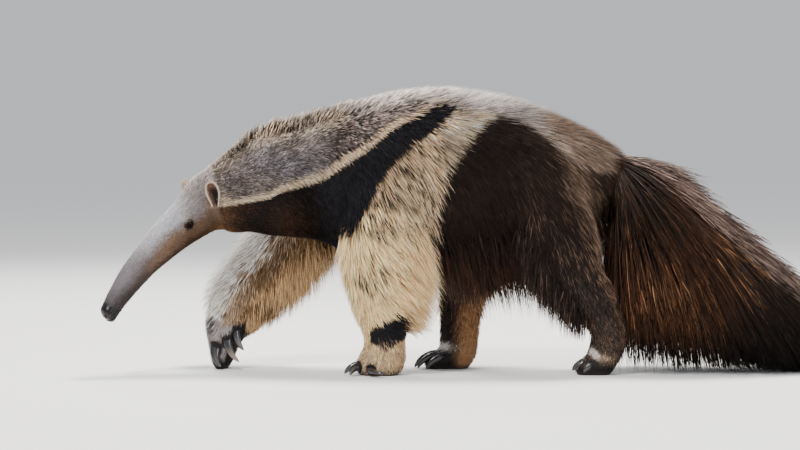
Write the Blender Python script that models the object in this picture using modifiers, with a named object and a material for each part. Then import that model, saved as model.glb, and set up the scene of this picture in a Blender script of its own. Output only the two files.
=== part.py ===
# Giant anteater, life size, walking, as a still museum model.
# Metres, +Z up.  The animal faces -X and its left side is at -Y.
# Every solid gives the outline out to the tips of the coat.
import bpy
import bmesh
import math
import numpy as np
from mathutils import Vector, Matrix

# ------------------------------------------------------------------ sizes
GAP = 0.0003                 # joint between neighbouring solids
ORIGIN_X = 0.318             # middle of the overall length, measured from the wither line
BODY_VOXEL = 0.0065          # grain of the joined body before it is thinned out
BODY_TRIS = 2500             # faces kept on the joined body
HEAD_SEG = 20                # facets round the head
HEAD_RINGS = 22              # rings from the neck to the snout
EAR_HEIGHT = 0.054
EAR_WIDTH = 0.028
EAR_CUP = 0.015
EAR_SKIN = 0.0032
EYE_RADIUS = 0.0085
NOSE_LENGTH = 0.0135
CLAW_LIFT = 0.0008           # claws ride this far above the floor

# head frame: yaw out to the left, pitch down, a little roll
SNOUT_DIR = Vector((-0.641, -0.375, -0.670)).normalized()
HEAD_ROLL = math.radians(1.5)

# spine stations: x, y, z, half height, lean of the section (deg), half width,
#                 narrowing toward the top, narrowing toward the belly
SPINE = [
    (-0.388, -0.030, 0.362, 0.0780, 30.0, 0.060, 0.10, 0.05),
    (-0.360, -0.022, 0.377, 0.0875, 26.0, 0.066, 0.12, 0.05),
    (-0.313, -0.012, 0.397, 0.1173, 17.0, 0.080, 0.22, 0.05),
    (-0.271, -0.005, 0.411, 0.1350, 16.5, 0.090, 0.30, 0.05),
    (-0.205,  0.000, 0.417, 0.1377, 12.0, 0.107, 0.30, 0.08),
    (-0.151,  0.000, 0.418, 0.1590,  8.0, 0.122, 0.28, 0.10),
    (-0.072,  0.000, 0.411, 0.1895,  3.5, 0.136, 0.26, 0.14),
    ( 0.027,  0.000, 0.402, 0.2129,  1.5, 0.146, 0.24, 0.20),
    ( 0.107,  0.000, 0.400, 0.2145,  0.0, 0.150, 0.22, 0.26),
    ( 0.185,  0.000, 0.398, 0.2039, -2.3, 0.152, 0.20, 0.26),
    ( 0.258,  0.000, 0.395, 0.1884, -3.2, 0.150, 0.18, 0.20),
    ( 0.322,  0.000, 0.396, 0.1626, -7.5, 0.140, 0.18, 0.14),
    ( 0.379,  0.000, 0.404, 0.1393, -5.6, 0.118, 0.16, 0.10),
    ( 0.424,  0.000, 0.408, 0.1092, -6.0, 0.092, 0.14, 0.10),
]
# tail stations: x, y, z, half height, half width, narrowing top, narrowing bottom
TAIL = [
    (0.395, 0.000, 0.4200, 0.0760, 0.052, 0.20, 0.20),
    (0.424, 0.000, 0.4000, 0.1050, 0.064, 0.25, 0.30),
    (0.462, 0.000, 0.3370, 0.1625, 0.062, 0.30, 0.45),
    (0.516, 0.000, 0.2580, 0.2025, 0.076, 0.35, 0.30),
    (0.603, 0.004, 0.2130, 0.1897, 0.094, 0.38, 0.15),
    (0.689, 0.008, 0.1730, 0.1672, 0.106, 0.40, 0.05),
    (0.775, 0.010, 0.1300, 0.1371, 0.112, 0.42, 0.00),
    (0.862, 0.010, 0.0860, 0.1010, 0.114, 0.42, 0.00),
    (0.970, 0.006, 0.0470, 0.0667, 0.106, 0.42, 0.00),
    (1.078, 0.000, 0.0220, 0.0445, 0.086, 0.40, 0.00),
    (1.185, -.004, 0.0060, 0.0285, 0.056, 0.35, 0.00),
    (1.248, -.006, 0.0010, 0.0150, 0.026, 0.20, 0.00),
]
# leg stations: x, y, z, half length fore and aft, lean (deg), half width
FORELEG_LEFT = [
    (-0.012, -0.062, 0.500, 0.0700, 90.0, 0.040),
    (-0.022, -0.085, 0.400, 0.0930, 90.0, 0.062),
    (-0.027, -0.104, 0.298, 0.1077, 90.0, 0.070),
    (-0.025, -0.106, 0.222, 0.1036, 90.0, 0.072),
    (-0.023, -0.103, 0.169, 0.0910, 90.0, 0.066),
    (-0.022, -0.098, 0.117, 0.0731, 90.0, 0.057),
    (-0.027, -0.094, 0.087, 0.0540, 90.0, 0.048),
    (-0.029, -0.090, 0.061, 0.0485, 90.0, 0.045),
    (-0.037, -0.088, 0.036, 0.0540, 90.0, 0.048),
    (-0.043, -0.086, 0.010, 0.0525, 90.0, 0.047),
    (-0.043, -0.086, -.012, 0.0380, 90.0, 0.035),
]
FORELEG_RIGHT = [
    (-0.100, 0.060, 0.480, 0.0700, 80.0, 0.040),
    (-0.160, 0.082, 0.385, 0.0900, 80.0, 0.058),
    (-0.210, 0.096, 0.305, 0.0990, 80.0, 0.068),
    (-0.245, 0.101, 0.250, 0.1070, 78.8, 0.072),
    (-0.286, 0.096, 0.194, 0.1093, 78.4, 0.068),
    (-0.320, 0.087, 0.152, 0.0998, 76.7, 0.060),
    (-0.356, 0.077, 0.106, 0.0746, 65.8, 0.048),
    (-0.377, 0.068, 0.081, 0.0470, 73.4, 0.042),
    (-0.382, 0.062, 0.053, 0.0355, 86.3, 0.042),
    (-0.383, 0.060, 0.024, 0.0310, 90.0, 0.042),
    (-0.384, 0.060, 0.002, 0.0270, 90.0, 0.038),
    (-0.384, 0.060, -.012, 0.0200, 90.0, 0.030),
]
HINDLEG_LEFT = [
    (0.285, -0.060, 0.470, 0.0720, 90.0, 0.048),
    (0.304, -0.080, 0.378, 0.0920, 90.0, 0.066),
    (0.331, -0.093, 0.287, 0.0943, 90.0, 0.070),
    (0.357, -0.095, 0.217, 0.0815, 90.0, 0.062),
    (0.388, -0.093, 0.172, 0.0721, 90.0, 0.054),
    (0.414, -0.089, 0.131, 0.0615, 90.0, 0.049),
    (0.441, -0.083, 0.088, 0.0430, 90.0, 0.043),
    (0.441, -0.079, 0.062, 0.0410, 90.0, 0.040),
    (0.436, -0.077, 0.037, 0.0390, 90.0, 0.040),
    (0.430, -0.075, 0.012, 0.0300, 90.0, 0.037),
    (0.425, -0.075, -.010, 0.0200, 90.0, 0.029),
]
HINDLEG_RIGHT = [
    (0.285, 0.060, 0.470, 0.0720, 84.0, 0.048),
    (0.252, 0.082, 0.360, 0.0960, 84.0, 0.066),
    (0.207, 0.091, 0.272, 0.0984, 86.8, 0.068),
    (0.158, 0.089, 0.212, 0.0730, 90.0, 0.060),
    (0.133, 0.083, 0.162, 0.0510, 90.0, 0.051),
    (0.131, 0.077, 0.119, 0.0485, 90.0, 0.045),
    (0.129, 0.071, 0.082, 0.0440, 90.0, 0.041),
    (0.128, 0.067, 0.050, 0.0430, 90.0, 0.040),
    (0.128, 0.065, 0.026, 0.0400, 90.0, 0.040),
    (0.126, 0.065, 0.004, 0.0290, 90.0, 0.036),
    (0.123, 0.065, -.012, 0.0200, 90.0, 0.028),
]
# foot stations, heel to toe: x, z, half height, half width (y from the leg)
FOOT_LEFT = dict(y=-0.075, rows=[(0.443, 0.018, 0.019, 0.026), (0.428, 0.020, 0.030, 0.036),
                                 (0.408, 0.019, 0.028, 0.040), (0.388, 0.014, 0.020, 0.037)])
FOOT_RIGHT = dict(y=0.065, rows=[(0.135, 0.018, 0.019, 0.026), (0.115, 0.020, 0.030, 0.036),
                                 (0.092, 0.018, 0.028, 0.040), (0.068, 0.013, 0.019, 0.038)])

# head stations: centre x, y, z, half height, half width, narrowing top, narrowing chin
HEAD = [
    (-0.6116, -0.1577, 0.1358, 0.0204, 0.0200, 0.00, 0.05),
    (-0.5942, -0.1428, 0.1676, 0.0237, 0.0210, 0.05, 0.10),
    (-0.5691, -0.1246, 0.2050, 0.0293, 0.0237, 0.08, 0.15),
    (-0.5389, -0.1050, 0.2425, 0.0331, 0.0262, 0.08, 0.18),
    (-0.5047, -0.0847, 0.2789, 0.0395, 0.0305, 0.08, 0.20),
    (-0.4730, -0.0671, 0.3085, 0.0447, 0.0375, 0.08, 0.22),
    (-0.4360, -0.0480, 0.3382, 0.0538, 0.0465, 0.08, 0.20),
    (-0.3985, -0.0300, 0.3625, 0.0735, 0.0570, 0.08, 0.12),
]
EYE_ALONG, EYE_UP, EYE_OUT = 0.0375, 0.0080, 0.0372    # from the station before the ears
EAR_ALONG, EAR_UP, EAR_OUT = 0.0140, 0.0170, 0.0535    # from the station at the ears

COLOURS = {
    "coat_grey": (0.22, 0.20, 0.18, 0.80, 0.0),
    "coat_brown": (0.06, 0.045, 0.035, 0.85, 0.0),
    "coat_cream": (0.55, 0.47, 0.34, 0.80, 0.0),
    "face_skin": (0.20, 0.19, 0.19, 0.65, 0.0),
    "nose_skin": (0.02, 0.02, 0.024, 0.35, 0.0),
    "claw_horn": (0.03, 0.032, 0.04, 0.35, 0.0),
    "eye_glass": (0.008, 0.006, 0.005, 0.08, 0.0),
    "ear_skin": (0.30, 0.22, 0.16, 0.70, 0.0),
}


# ------------------------------------------------------------------ scene
def clear_objects():
    for obj in list(bpy.data.objects):
        bpy.data.objects.remove(obj, do_unlink=True)


def collection(name):
    col = bpy.data.collections.new(name)
    bpy.context.scene.collection.children.link(col)
    return col


def material(name):
    r, g, b, rough, metal = COLOURS[name]
    mat = bpy.data.materials.new(name)
    mat.use_nodes = True
    bsdf = mat.node_tree.nodes["Principled BSDF"]
    bsdf.inputs["Base Color"].default_value = (r, g, b, 1.0)
    bsdf.inputs["Roughness"].default_value = rough
    bsdf.inputs["Metallic"].default_value = metal
    mat.diffuse_color = (r, g, b, 1.0)
    return mat


clear_objects()
PARTS = collection("giant_anteater")
CUTTERS = collection("cutters")
MATS = {name: material(name) for name in COLOURS}


def drop(obj):
    bpy.data.objects.remove(obj, do_unlink=True)


def from_bmesh(name, bm, col=None):
    mesh = bpy.data.meshes.new(name)
    bm.to_mesh(mesh)
    bm.free()
    obj = bpy.data.objects.new(name, mesh)
    (col or CUTTERS).objects.link(obj)
    return obj


def evaluated(obj, name, col=None):
    """A plain mesh object holding what obj shows with its modifiers on."""
    bpy.context.view_layer.update()
    graph = bpy.context.evaluated_depsgraph_get()
    mesh = bpy.data.meshes.new_from_object(obj.evaluated_get(graph))
    mesh.name = name
    new = bpy.data.objects.new(name, mesh)
    new.matrix_world = obj.matrix_world.copy()
    (col or CUTTERS).objects.link(new)
    return new


def as_cutter(obj):
    obj.hide_render = True
    obj.display_type = 'WIRE'
    return obj


# ------------------------------------------------------------------ lofts
def blend_rows(rows, count):
    """Smooth rows between the stations, spaced by the distance of their centres."""
    rows = np.array(rows, float)
    step = np.linalg.norm(np.diff(rows[:, :3], axis=0), axis=1)
    t = np.concatenate([[0.0], np.cumsum(step)])
    slope = np.zeros_like(rows)
    slope[1:-1] = (rows[2:] - rows[:-2]) / (t[2:] - t[:-2])[:, None]
    slope[0] = (rows[1] - rows[0]) / (t[1] - t[0])
    slope[-1] = (rows[-1] - rows[-2]) / (t[-1] - t[-2])
    out = []
    for s in np.linspace(0.0, t[-1], count):
        i = min(int(np.searchsorted(t, s, side='right')) - 1, len(t) - 2)
        i = max(i, 0)
        h = t[i + 1] - t[i]
        k = (s - t[i]) / h
        out.append((2 * k**3 - 3 * k**2 + 1) * rows[i] + (k**3 - 2 * k**2 + k) * h * slope[i]
                   + (3 * k**2 - 2 * k**3) * rows[i + 1] + (k**3 - k**2) * h * slope[i + 1])
    return np.array(out)


def ring_points(row, seg, power=2.25):
    """row: centre 3, up half-vector 3, side half-vector 3, top and bottom narrowing."""
    c, u, v = row[0:3], row[3:6], row[6:9]
    top, low = row[9], row[10]
    pts = []
    for i in range(seg):
        a = 2.0 * math.pi * (i + 0.5) / seg
        ca, sa = math.cos(a), math.sin(a)
        h = math.copysign(abs(ca) ** (2.0 / power), ca)
        w = math.copysign(abs(sa) ** (2.0 / power), sa)
        w *= 1.0 - (top if h > 0 else low) * abs(h) ** 1.5
        pts.append(c + u * h + v * w)
    return pts


def cap_rows(row, axis, length, steps=3, blunt=0.8):
    out = []
    for i in range(1, steps + 1):
        a = 0.5 * math.pi * i / (steps + 0.6)
        r = row.copy()
        r[0:3] = row[0:3] + axis * length * math.sin(a)
        r[3:9] = row[3:9] * math.cos(a) ** blunt
        out.append(r)
    return out


def loft(name, rows, seg, cap_start=None, cap_end=None, power=2.25, relief=None):
    """A closed skin over ring sections; a cap length rounds an end, None keeps it flat."""
    rows = [np.array(r, float) for r in rows]
    if cap_start is not None:
        axis = rows[0][0:3] - rows[1][0:3]
        rows = cap_rows(rows[0], axis / np.linalg.norm(axis), cap_start)[::-1] + rows
    if cap_end is not None:
        axis = rows[-1][0:3] - rows[-2][0:3]
        rows = rows + cap_rows(rows[-1], axis / np.linalg.norm(axis), cap_end)
    bm = bmesh.new()
    rings = []
    for n, row in enumerate(rows):
        pts = ring_points(row, seg, power)
        if relief:
            pts = relief(n, row, pts)
        rings.append([bm.verts.new(p) for p in pts])
    for a, b in zip(rings[:-1], rings[1:]):
        for i in range(seg):
            bm.faces.new((a[i], a[(i + 1) % seg], b[(i + 1) % seg], b[i]))
    for ring in (rings[0], rings[-1]):
        mid = bm.verts.new(sum((v.co for v in ring), Vector()) / seg)
        for i in range(seg):
            bm.faces.new((ring[i], ring[(i + 1) % seg], mid))
    bmesh.ops.recalc_face_normals(bm, faces=bm.faces)
    return from_bmesh(name, bm)


def spine_rows():
    rows = []
    for x, y, z, h, lean, w, top, low in SPINE:
        a = math.radians(lean)
        rows.append([x, y, z, -math.sin(a) * h, 0.0, math.cos(a) * h, 0.0, -w, 0.0, top, low])
    return rows


def tail_rows():
    return [[x, y, z, 0.0, 0.0, h, 0.0, -w, 0.0, top, low] for x, y, z, h, w, top, low in TAIL]


def leg_rows(table):
    rows = []
    for x, y, z, h, lean, w in table:
        a = math.radians(lean)
        rows.append([x, y, z, -math.sin(a) * h, 0.0, math.cos(a) * h, 0.0, -w, 0.0, 0.10, 0.10])
    return rows


def foot_rows(table):
    return [[x, table["y"], z, 0.0, 0.0, h, 0.0, -w, 0.0, 0.25, 0.0] for x, z, h, w in table["rows"]]


def head_frame():
    d = SNOUT_DIR
    up = (Vector((0, 0, 1)) - d * d.z).normalized()
    left = up.cross(d).normalized()
    c, s = math.cos(HEAD_ROLL), math.sin(HEAD_ROLL)
    return d, up * c + left * s, left * c - up * s


HEAD_D, HEAD_UP, HEAD_LEFT = head_frame()


def head_rows():
    rows = []
    for x, y, z, h, w, top, low in HEAD:
        rows.append([x, y, z] + list(HEAD_UP * h) + list(HEAD_LEFT * w) + [top, low])
    x, y, z, h, lean, w, top, low = SPINE[1]
    a = math.radians(lean)
    rows.append([x, y, z, -math.sin(a) * h, 0.0, math.cos(a) * h, 0.0, -w, 0.0, top, low])
    return rows


def head_point(station, along, up, out):
    x, y, z = HEAD[station][:3]
    return Vector((x, y, z)) + HEAD_D * along + HEAD_UP * up + HEAD_LEFT * out


EYES = {"left": head_point(6, EYE_ALONG, EYE_UP, EYE_OUT),
        "right": head_point(6, EYE_ALONG, EYE_UP, -EYE_OUT)}


def head_relief(n, row, pts):
    """Brow over each eye, hollow in front of it and a low cheek behind the mouth."""
    out = []
    for p in pts:
        q = Vector(p)
        away = (q - Vector(row[0:3])).normalized()
        push = 0.0
        for side, sign in (("left", 1.0), ("right", -1.0)):
            e = EYES[side]
            brow = e + HEAD_UP * 0.014 - HEAD_D * 0.004 + HEAD_LEFT * sign * 0.002
            hollow = e + HEAD_D * 0.022 - HEAD_UP * 0.002
            cheek = e - HEAD_UP * 0.030 - HEAD_D * 0.018
            push += 0.0030 * math.exp(-((q - brow).length / 0.015) ** 2)
            push -= 0.0022 * math.exp(-((q - hollow).length / 0.014) ** 2)
            push += 0.0030 * math.exp(-((q - cheek).length / 0.026) ** 2)
        out.append(np.array(q + away * push))
    return out


def claw_rows(base, start, curl, length, radius, turn, flat=0.72, steps=4):
    """A horn that starts along 'start' and curls toward 'curl' through 'turn' degrees."""
    start = Vector(start).normalized()
    curl = Vector(curl)
    curl = (curl - start * curl.dot(start)).normalized()
    side = start.cross(curl)
    pos = Vector(base)
    rows = []
    for i in range(steps + 1):
        t = i / steps
        a = math.radians(turn) * t
        d = start * math.cos(a) + curl * math.sin(a)
        back = curl * math.cos(a) - start * math.sin(a)
        r = radius * (1.0 - t) ** 0.55 * 0.90 + radius * 0.10 * (1 - t) + 0.0007
        rows.append(list(pos) + list(back * r) + list(side * r * flat) + [0.0, 0.0])
        pos = pos + d * (length / steps)
    return rows


# ------------------------------------------------------------------ cutting
def boolean(obj, cutter, op):
    mod = obj.modifiers.new(op.lower(), 'BOOLEAN')
    mod.operation = op
    mod.solver = 'EXACT'
    mod.use_self = cutter.name.startswith("body")
    mod.object = cutter
    return mod


def grown(obj, amount):
    """A cutter like obj, pushed out along its normals."""
    cut = bpy.data.objects.new(obj.name + "_room", obj.data.copy())
    CUTTERS.objects.link(cut)
    mod = cut.modifiers.new("room", 'DISPLACE')
    mod.mid_level = 0.0
    mod.strength = amount
    new = evaluated(cut, obj.name + "_room")
    drop(cut)
    return as_cutter(new)


def tidy(obj):
    """Weld hair-thin slivers that a cut may leave."""
    bm = bmesh.new()
    bm.from_mesh(obj.data)
    bmesh.ops.remove_doubles(bm, verts=bm.verts, dist=0.00002)
    bmesh.ops.dissolve_degenerate(bm, edges=bm.edges, dist=0.00002)
    bmesh.ops.triangulate(bm, faces=bm.faces)
    bm.to_mesh(obj.data)
    bm.free()
    obj.data.update()


def cut(name, source, inside=(), outside=()):
    """The share of source inside every 'inside' cutter and outside every 'outside' one."""
    obj = bpy.data.objects.new(name + "_raw", source.data.copy())
    CUTTERS.objects.link(obj)
    for c in inside:
        boolean(obj, c, 'INTERSECT')
    for c in outside:
        boolean(obj, c, 'DIFFERENCE')
    new = evaluated(obj, name, CUTTERS)
    drop(obj)
    tidy(new)
    return new


def finish(obj, name, mat, flat_floor=False):
    """Name the solid, colour it, set its origin over the model's middle."""
    obj.name = name
    obj.data.name = name
    for col in list(obj.users_collection):
        col.objects.unlink(obj)
    PARTS.objects.link(obj)
    obj.hide_render = False
    obj.display_type = 'TEXTURED'
    obj.data.transform(Matrix.Translation((-ORIGIN_X, 0.0, 0.0)))
    obj.data.materials.clear()
    obj.data.materials.append(MATS[mat])
    obj.data.shade_smooth()
    obj.data.set_sharp_from_angle(angle=math.radians(50))
    return obj


# ------------------------------------------------------------------ claws and digits
# base, first direction, curl direction, length, radius, turn in degrees
CLAWS = {
    "hand_left": [
        ((-0.060, -0.124, 0.0150), (-0.15, -0.93, -0.10), (1.00, 0.22, 0.00), 0.056, 0.0085, 96),
        ((-0.088, -0.106, 0.0185), (-0.80, -0.58, -0.05), (0.45, -0.45, -0.75), 0.036, 0.0098, 66),
        ((-0.088, -0.080, 0.0190), (-0.97, -0.05, 0.00), (0.20, -0.15, -0.95), 0.036, 0.0094, 62),
        ((-0.074, -0.055, 0.0165), (-0.90, 0.35, 0.00), (0.20, 0.00, -1.00), 0.028, 0.0074, 62),
    ],
    "hand_right": [
        ((-0.398, 0.031, 0.050), (-0.28, -0.36, -0.89), (0.95, -0.05, 0.10), 0.050, 0.0125, 62),
        ((-0.374, 0.026, 0.066), (0.06, -0.30, -0.95), (0.95, 0.05, 0.10), 0.058, 0.0096, 52),
        ((-0.357, 0.037, 0.086), (0.06, -0.25, -0.97), (0.90, 0.10, 0.20), 0.050, 0.0100, 40),
        ((-0.404, 0.082, 0.030), (-0.15, 0.20, -0.95), (0.95, 0.00, 0.05), 0.030, 0.0070, 60),
    ],
    "foot_left": [], "foot_right": [],
}
for key, x0, y0, length in (("foot_left", 0.396, -0.075, 0.036), ("foot_right", 0.078, 0.065, 0.058)):
    for i in range(5):
        k = i - 2
        CLAWS[key].append(((x0 + 0.0035 * k * k, y0 + 0.0160 * k, 0.0255 - 0.0012 * k * k),
                           (-0.95, 0.14 * k, 0.02), (-0.25, 0.0, -0.95),
                           length * (1.0 - 0.06 * k * k), 0.0090, 70))


def digit(row, back, reach):
    """The toe that carries a claw: a short capsule from inside the foot to the claw's root."""
    base, start, _, _, radius, _ = row
    d = Vector(start).normalized()
    up = (Vector((0, 0, 1)) - d * d.z)
    up = up.normalized() if up.length > 0.2 else Vector((1, 0, 0))
    side = d.cross(up).normalized()
    r = radius * 1.28
    rows = [list(Vector(base) + d * s) + list(up * r * k) + list(side * r * k) + [0.0, 0.0]
            for s, k in ((-back, 1.15), (-back * 0.4, 1.10), (reach, 0.90))]
    return loft("digit", rows, 12, 0.006, 0.004, 2.0)


# ------------------------------------------------------------------ body
def make_body():
    pieces = [
        loft("spine", blend_rows(spine_rows(), 60), 40, 0.02, 0.03),
        loft("fore_l", blend_rows(leg_rows(FORELEG_LEFT), 36), 28, 0.05, 0.01),
        loft("fore_r", blend_rows(leg_rows(FORELEG_RIGHT), 38), 28, 0.04, 0.01),
        loft("hind_l", blend_rows(leg_rows(HINDLEG_LEFT), 38), 28, 0.04, 0.01),
        loft("hind_r", blend_rows(leg_rows(HINDLEG_RIGHT), 38), 28, 0.04, 0.01),
        loft("sole_l", blend_rows(foot_rows(FOOT_LEFT), 12), 20, 0.014, 0.014),
        loft("sole_r", blend_rows(foot_rows(FOOT_RIGHT), 12), 20, 0.014, 0.014),
    ]
    for key, rows in CLAWS.items():
        reach = 0.007 if key.startswith("foot") else 0.010
        pieces += [digit(row, 0.026, reach) for row in rows]
    bm = bmesh.new()
    for p in pieces:
        bm.from_mesh(p.data)
        drop(p)
    body = from_bmesh("body_sum", bm)
    mod = body.modifiers.new("join", 'REMESH')
    mod.mode = 'VOXEL'
    mod.voxel_size = BODY_VOXEL
    mod = body.modifiers.new("ease", 'SMOOTH')
    mod.factor = 0.5
    mod.iterations = 6
    soft = evaluated(body, "body_soft")
    drop(body)
    # shoulders and hips flow into the trunk, the feet keep their form
    group = soft.vertex_groups.new(name="flow")
    for v in soft.data.vertices:
        group.add([v.index], min(1.0, max(0.0, (v.co.z - 0.13) / 0.10)), 'REPLACE')
    mod = soft.modifiers.new("flow", 'SMOOTH')
    mod.factor = 0.5
    mod.iterations = 34
    mod.vertex_group = "flow"
    flowed = evaluated(soft, "body_flowed")
    drop(soft)
    soft = flowed
    # soles: everything under the floor comes up to one flat level
    for v in soft.data.vertices:
        if v.co.z < 0.0012:
            v.co.z = 0.0
    mod = soft.modifiers.new("thin", 'DECIMATE')
    mod.ratio = BODY_TRIS / (2.0 * len(soft.data.polygons))
    body = evaluated(soft, "body")
    drop(soft)
    for v in body.data.vertices:
        if v.co.z < 0.0004:
            v.co.z = 0.0
    tidy(body)
    return body


body = make_body()

NODES = {}
G = GAP
hx, hy, hz, hh, hl, hw, _, _ = SPINE[1]      # the head ends on the plane of this station
SHOULDER = (-0.165, 0.0, 0.33)               # the neck ends on a leaning plane through here
SHOULDER_LEAN = 10.0


def region(name, planes, grow=0.0):
    """The space inside every plane; a plane is a point on it and the way out of it."""
    bm = bmesh.new()
    bmesh.ops.create_cube(bm, size=4.0)
    for point, way in planes:
        way = Vector(way).normalized()
        cut_edges = bmesh.ops.bisect_plane(bm, geom=bm.verts[:] + bm.edges[:] + bm.faces[:],
                                           plane_co=Vector(point) + way * grow, plane_no=way,
                                           clear_outer=True)["geom_cut"]
        edges = [e for e in cut_edges if isinstance(e, bmesh.types.BMEdge)]
        bmesh.ops.holes_fill(bm, edges=edges)
    bmesh.ops.recalc_face_normals(bm, faces=bm.faces)
    return as_cutter(from_bmesh(name, bm))


def section_way(lean):
    a = math.radians(lean)
    return (math.cos(a), 0.0, math.sin(a))


HEAD_PLANE = ((hx, hy, hz), section_way(hl))             # out of the head: back and up
NECK_PLANE = (SHOULDER, section_way(SHOULDER_LEAN))
REGIONS = {
    "foreleg_left": [((0, -0.034, 0.20), (0, 1.0, 0.28)), ((-0.03, -0.10, 0.338), (0.10, 0.25, 1.0)),
                     ((-0.146, 0, 0.25), (-1, 0, -0.10)), ((0.090, 0, 0.22), (1, 0, 0.12))],
    "foreleg_right": [((0, 0.012, 0.20), (0, -1.0, 0.20)), ((-0.24, 0.10, 0.312), (-0.25, -0.15, 1.0)),
                      ((-0.118, 0, 0.27), (1.0, 0, -0.25))],
    "hindleg_left": [((0, -0.028, 0.15), (0, 1.0, 0.22)), ((0.32, -0.09, 0.352), (-0.12, 0.20, 1.0)),
                     ((0.232, 0, 0.28), (-1.0, 0, -0.36))],
    "hindleg_right": [((0, 0.022, 0.15), (0, -1.0, 0.22)), ((0.20, 0.09, 0.300), (-0.15, -0.20, 1.0)),
                      ((0.072, 0, 0.22), (-1.0, 0, 0.20)), ((0.262, 0, 0.22), (1.0, 0, -0.45))],
}
FEET = {
    "hand_left": [((0, 0, 0.078), (0, 0, 1)), ((0.115, 0, 0), (1, 0, 0)), ((-0.2, 0, 0), (-1, 0, 0)),
                  ((0, 0.0, 0), (0, 1, 0))],
    "hand_right": [((0, 0, 0.100), (0, 0, 1)), ((-0.28, 0, 0), (1, 0, 0)), ((0, 0, 0), (0, -1, 0))],
    "foot_left": [((0, 0, 0.055), (0, 0, 1)), ((0.28, 0, 0), (-1, 0, 0)), ((0, 0, 0), (0, 1, 0))],
    "foot_right": [((0, 0, 0.055), (0, 0, 1)), ((0.0, 0, 0), (-1, 0, 0)), ((0.28, 0, 0), (1, 0, 0)),
                   ((0, 0, 0), (0, -1, 0))],
}
zone = {k: region(k + "_zone", p) for k, p in list(REGIONS.items()) + list(FEET.items())}
room = {k: region(k + "_room", p, G) for k, p in list(REGIONS.items()) + list(FEET.items())}
before_head = region("before_head", [HEAD_PLANE], G)
neck_zone = region("neck_zone", [NECK_PLANE])
neck_room = region("neck_room", [NECK_PLANE], G)

claws = {}
for key, rows in CLAWS.items():
    for i, (base, start, curl, length, radius, turn) in enumerate(rows):
        name = "claw_%s_%d" % (key, i + 1)
        c = loft(name, claw_rows(base, start, curl, length, radius, turn), 6, None, None, 2.0)
        low = min(v.co.z for v in c.data.vertices)
        if low < CLAW_LIFT:                       # the tip stays off the floor
            c.data.transform(Matrix.Translation((0, 0, CLAW_LIFT - low)))
        claws.setdefault(key, []).append(c)

# ------------------------------------------------------------------ flesh
for key in FEET:
    nails = [grown(c, 2 * G) for c in claws[key]]
    NODES[key] = cut(key, body, [zone[key]], nails)
for key, foot in (("foreleg_left", "hand_left"), ("foreleg_right", "hand_right"),
                  ("hindleg_left", "foot_left"), ("hindleg_right", "foot_right")):
    NODES[key] = cut(key, body, [zone[key]], [room[foot]])
limbs = list(room.values())
NODES["neck"] = cut("neck", body, [neck_zone], [before_head] + limbs)
NODES["trunk"] = cut("trunk", body, [], [neck_room] + limbs)

# head, nose and eyes
head_all = loft("head_all", blend_rows(head_rows(), HEAD_RINGS)[:], HEAD_SEG, 0.0125, None, 2.1,
                head_relief)
tip = Vector(HEAD[0][:3])
nose_face = tip + HEAD_D * 0.0115 - HEAD_D * NOSE_LENGTH


def along_box(name, point, direction, grow):
    size = 0.12
    bm = bmesh.new()
    bmesh.ops.create_cube(bm, size=size)
    bmesh.ops.translate(bm, vec=(0, 0, size / 2 - grow), verts=bm.verts)
    turn = direction.to_track_quat('Z', 'Y').to_matrix()
    bmesh.ops.rotate(bm, cent=(0, 0, 0), matrix=turn, verts=bm.verts)
    bmesh.ops.translate(bm, vec=point, verts=bm.verts)
    return as_cutter(from_bmesh(name, bm))


def ball(name, centre, radius, seg, rings):
    bm = bmesh.new()
    bmesh.ops.create_uvsphere(bm, u_segments=seg, v_segments=rings, radius=radius)
    bmesh.ops.translate(bm, vec=centre, verts=bm.verts)
    return from_bmesh(name, bm)


nose_zone = along_box("nose_zone", nose_face, HEAD_D, 0.0)
nose_room = along_box("nose_room", nose_face, HEAD_D, G)
eyes, sockets = {}, []
for side, centre in EYES.items():
    eyes[side] = ball("eye_" + side, centre, EYE_RADIUS, 10, 7)
    sockets.append(as_cutter(ball("socket_" + side, centre, EYE_RADIUS + 2 * G, 10, 7)))
nostrils = []
for sign in (1.0, -1.0):
    at = tip + HEAD_D * 0.0105 + HEAD_UP * 0.0015 + HEAD_LEFT * 0.0078 * sign
    nostrils.append(as_cutter(ball("nostril", at, 0.0034, 8, 6)))
NODES["nose"] = cut("nose", head_all, [nose_zone], nostrils)
NODES["head"] = cut("head", head_all, [], [nose_room] + sockets)


# ears: an open cup with a skin of even thickness
def ear(name, base, up, out, sign):
    up = Vector(up).normalized()
    out = (Vector(out) - up * Vector(out).dot(up)).normalized()
    side = up.cross(out).normalized()
    nu, nv = 5, 6
    bm = bmesh.new()
    grid = []
    for j in range(nv + 1):
        t = j / nv
        w = EAR_WIDTH / 2 * (math.sin(math.pi * min(1.0, 0.12 + 0.88 * t)) ** 0.62 if t < 1 else 0.0)
        w = max(w, 0.0028)
        row = []
        for i in range(nu + 1):
            s = -1.0 + 2.0 * i / nu
            dip = EAR_CUP * (1 - s * s) * math.sin(math.pi * (0.14 + 0.80 * t)) ** 0.7
            lean = 0.006 * t * t
            p = base + up * (EAR_HEIGHT * (t - 0.10)) + side * (w * math.sin(s * math.pi / 2)) \
                + out * (0.0095 - dip + lean)
            row.append(bm.verts.new(p))
        grid.append(row)
    for a, b in zip(grid[:-1], grid[1:]):
        for i in range(nu):
            bm.faces.new((a[i], a[i + 1], b[i + 1], b[i]))
    obj = from_bmesh(name + "_leaf", bm)
    mod = obj.modifiers.new("skin", 'SOLIDIFY')
    mod.thickness = EAR_SKIN
    mod.offset = 0.0
    new = evaluated(obj, name + "_thick")
    drop(obj)
    bm = bmesh.new()
    bm.from_mesh(new.data)
    bmesh.ops.recalc_face_normals(bm, faces=bm.faces)
    bm.to_mesh(new.data)
    bm.free()
    return new


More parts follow.
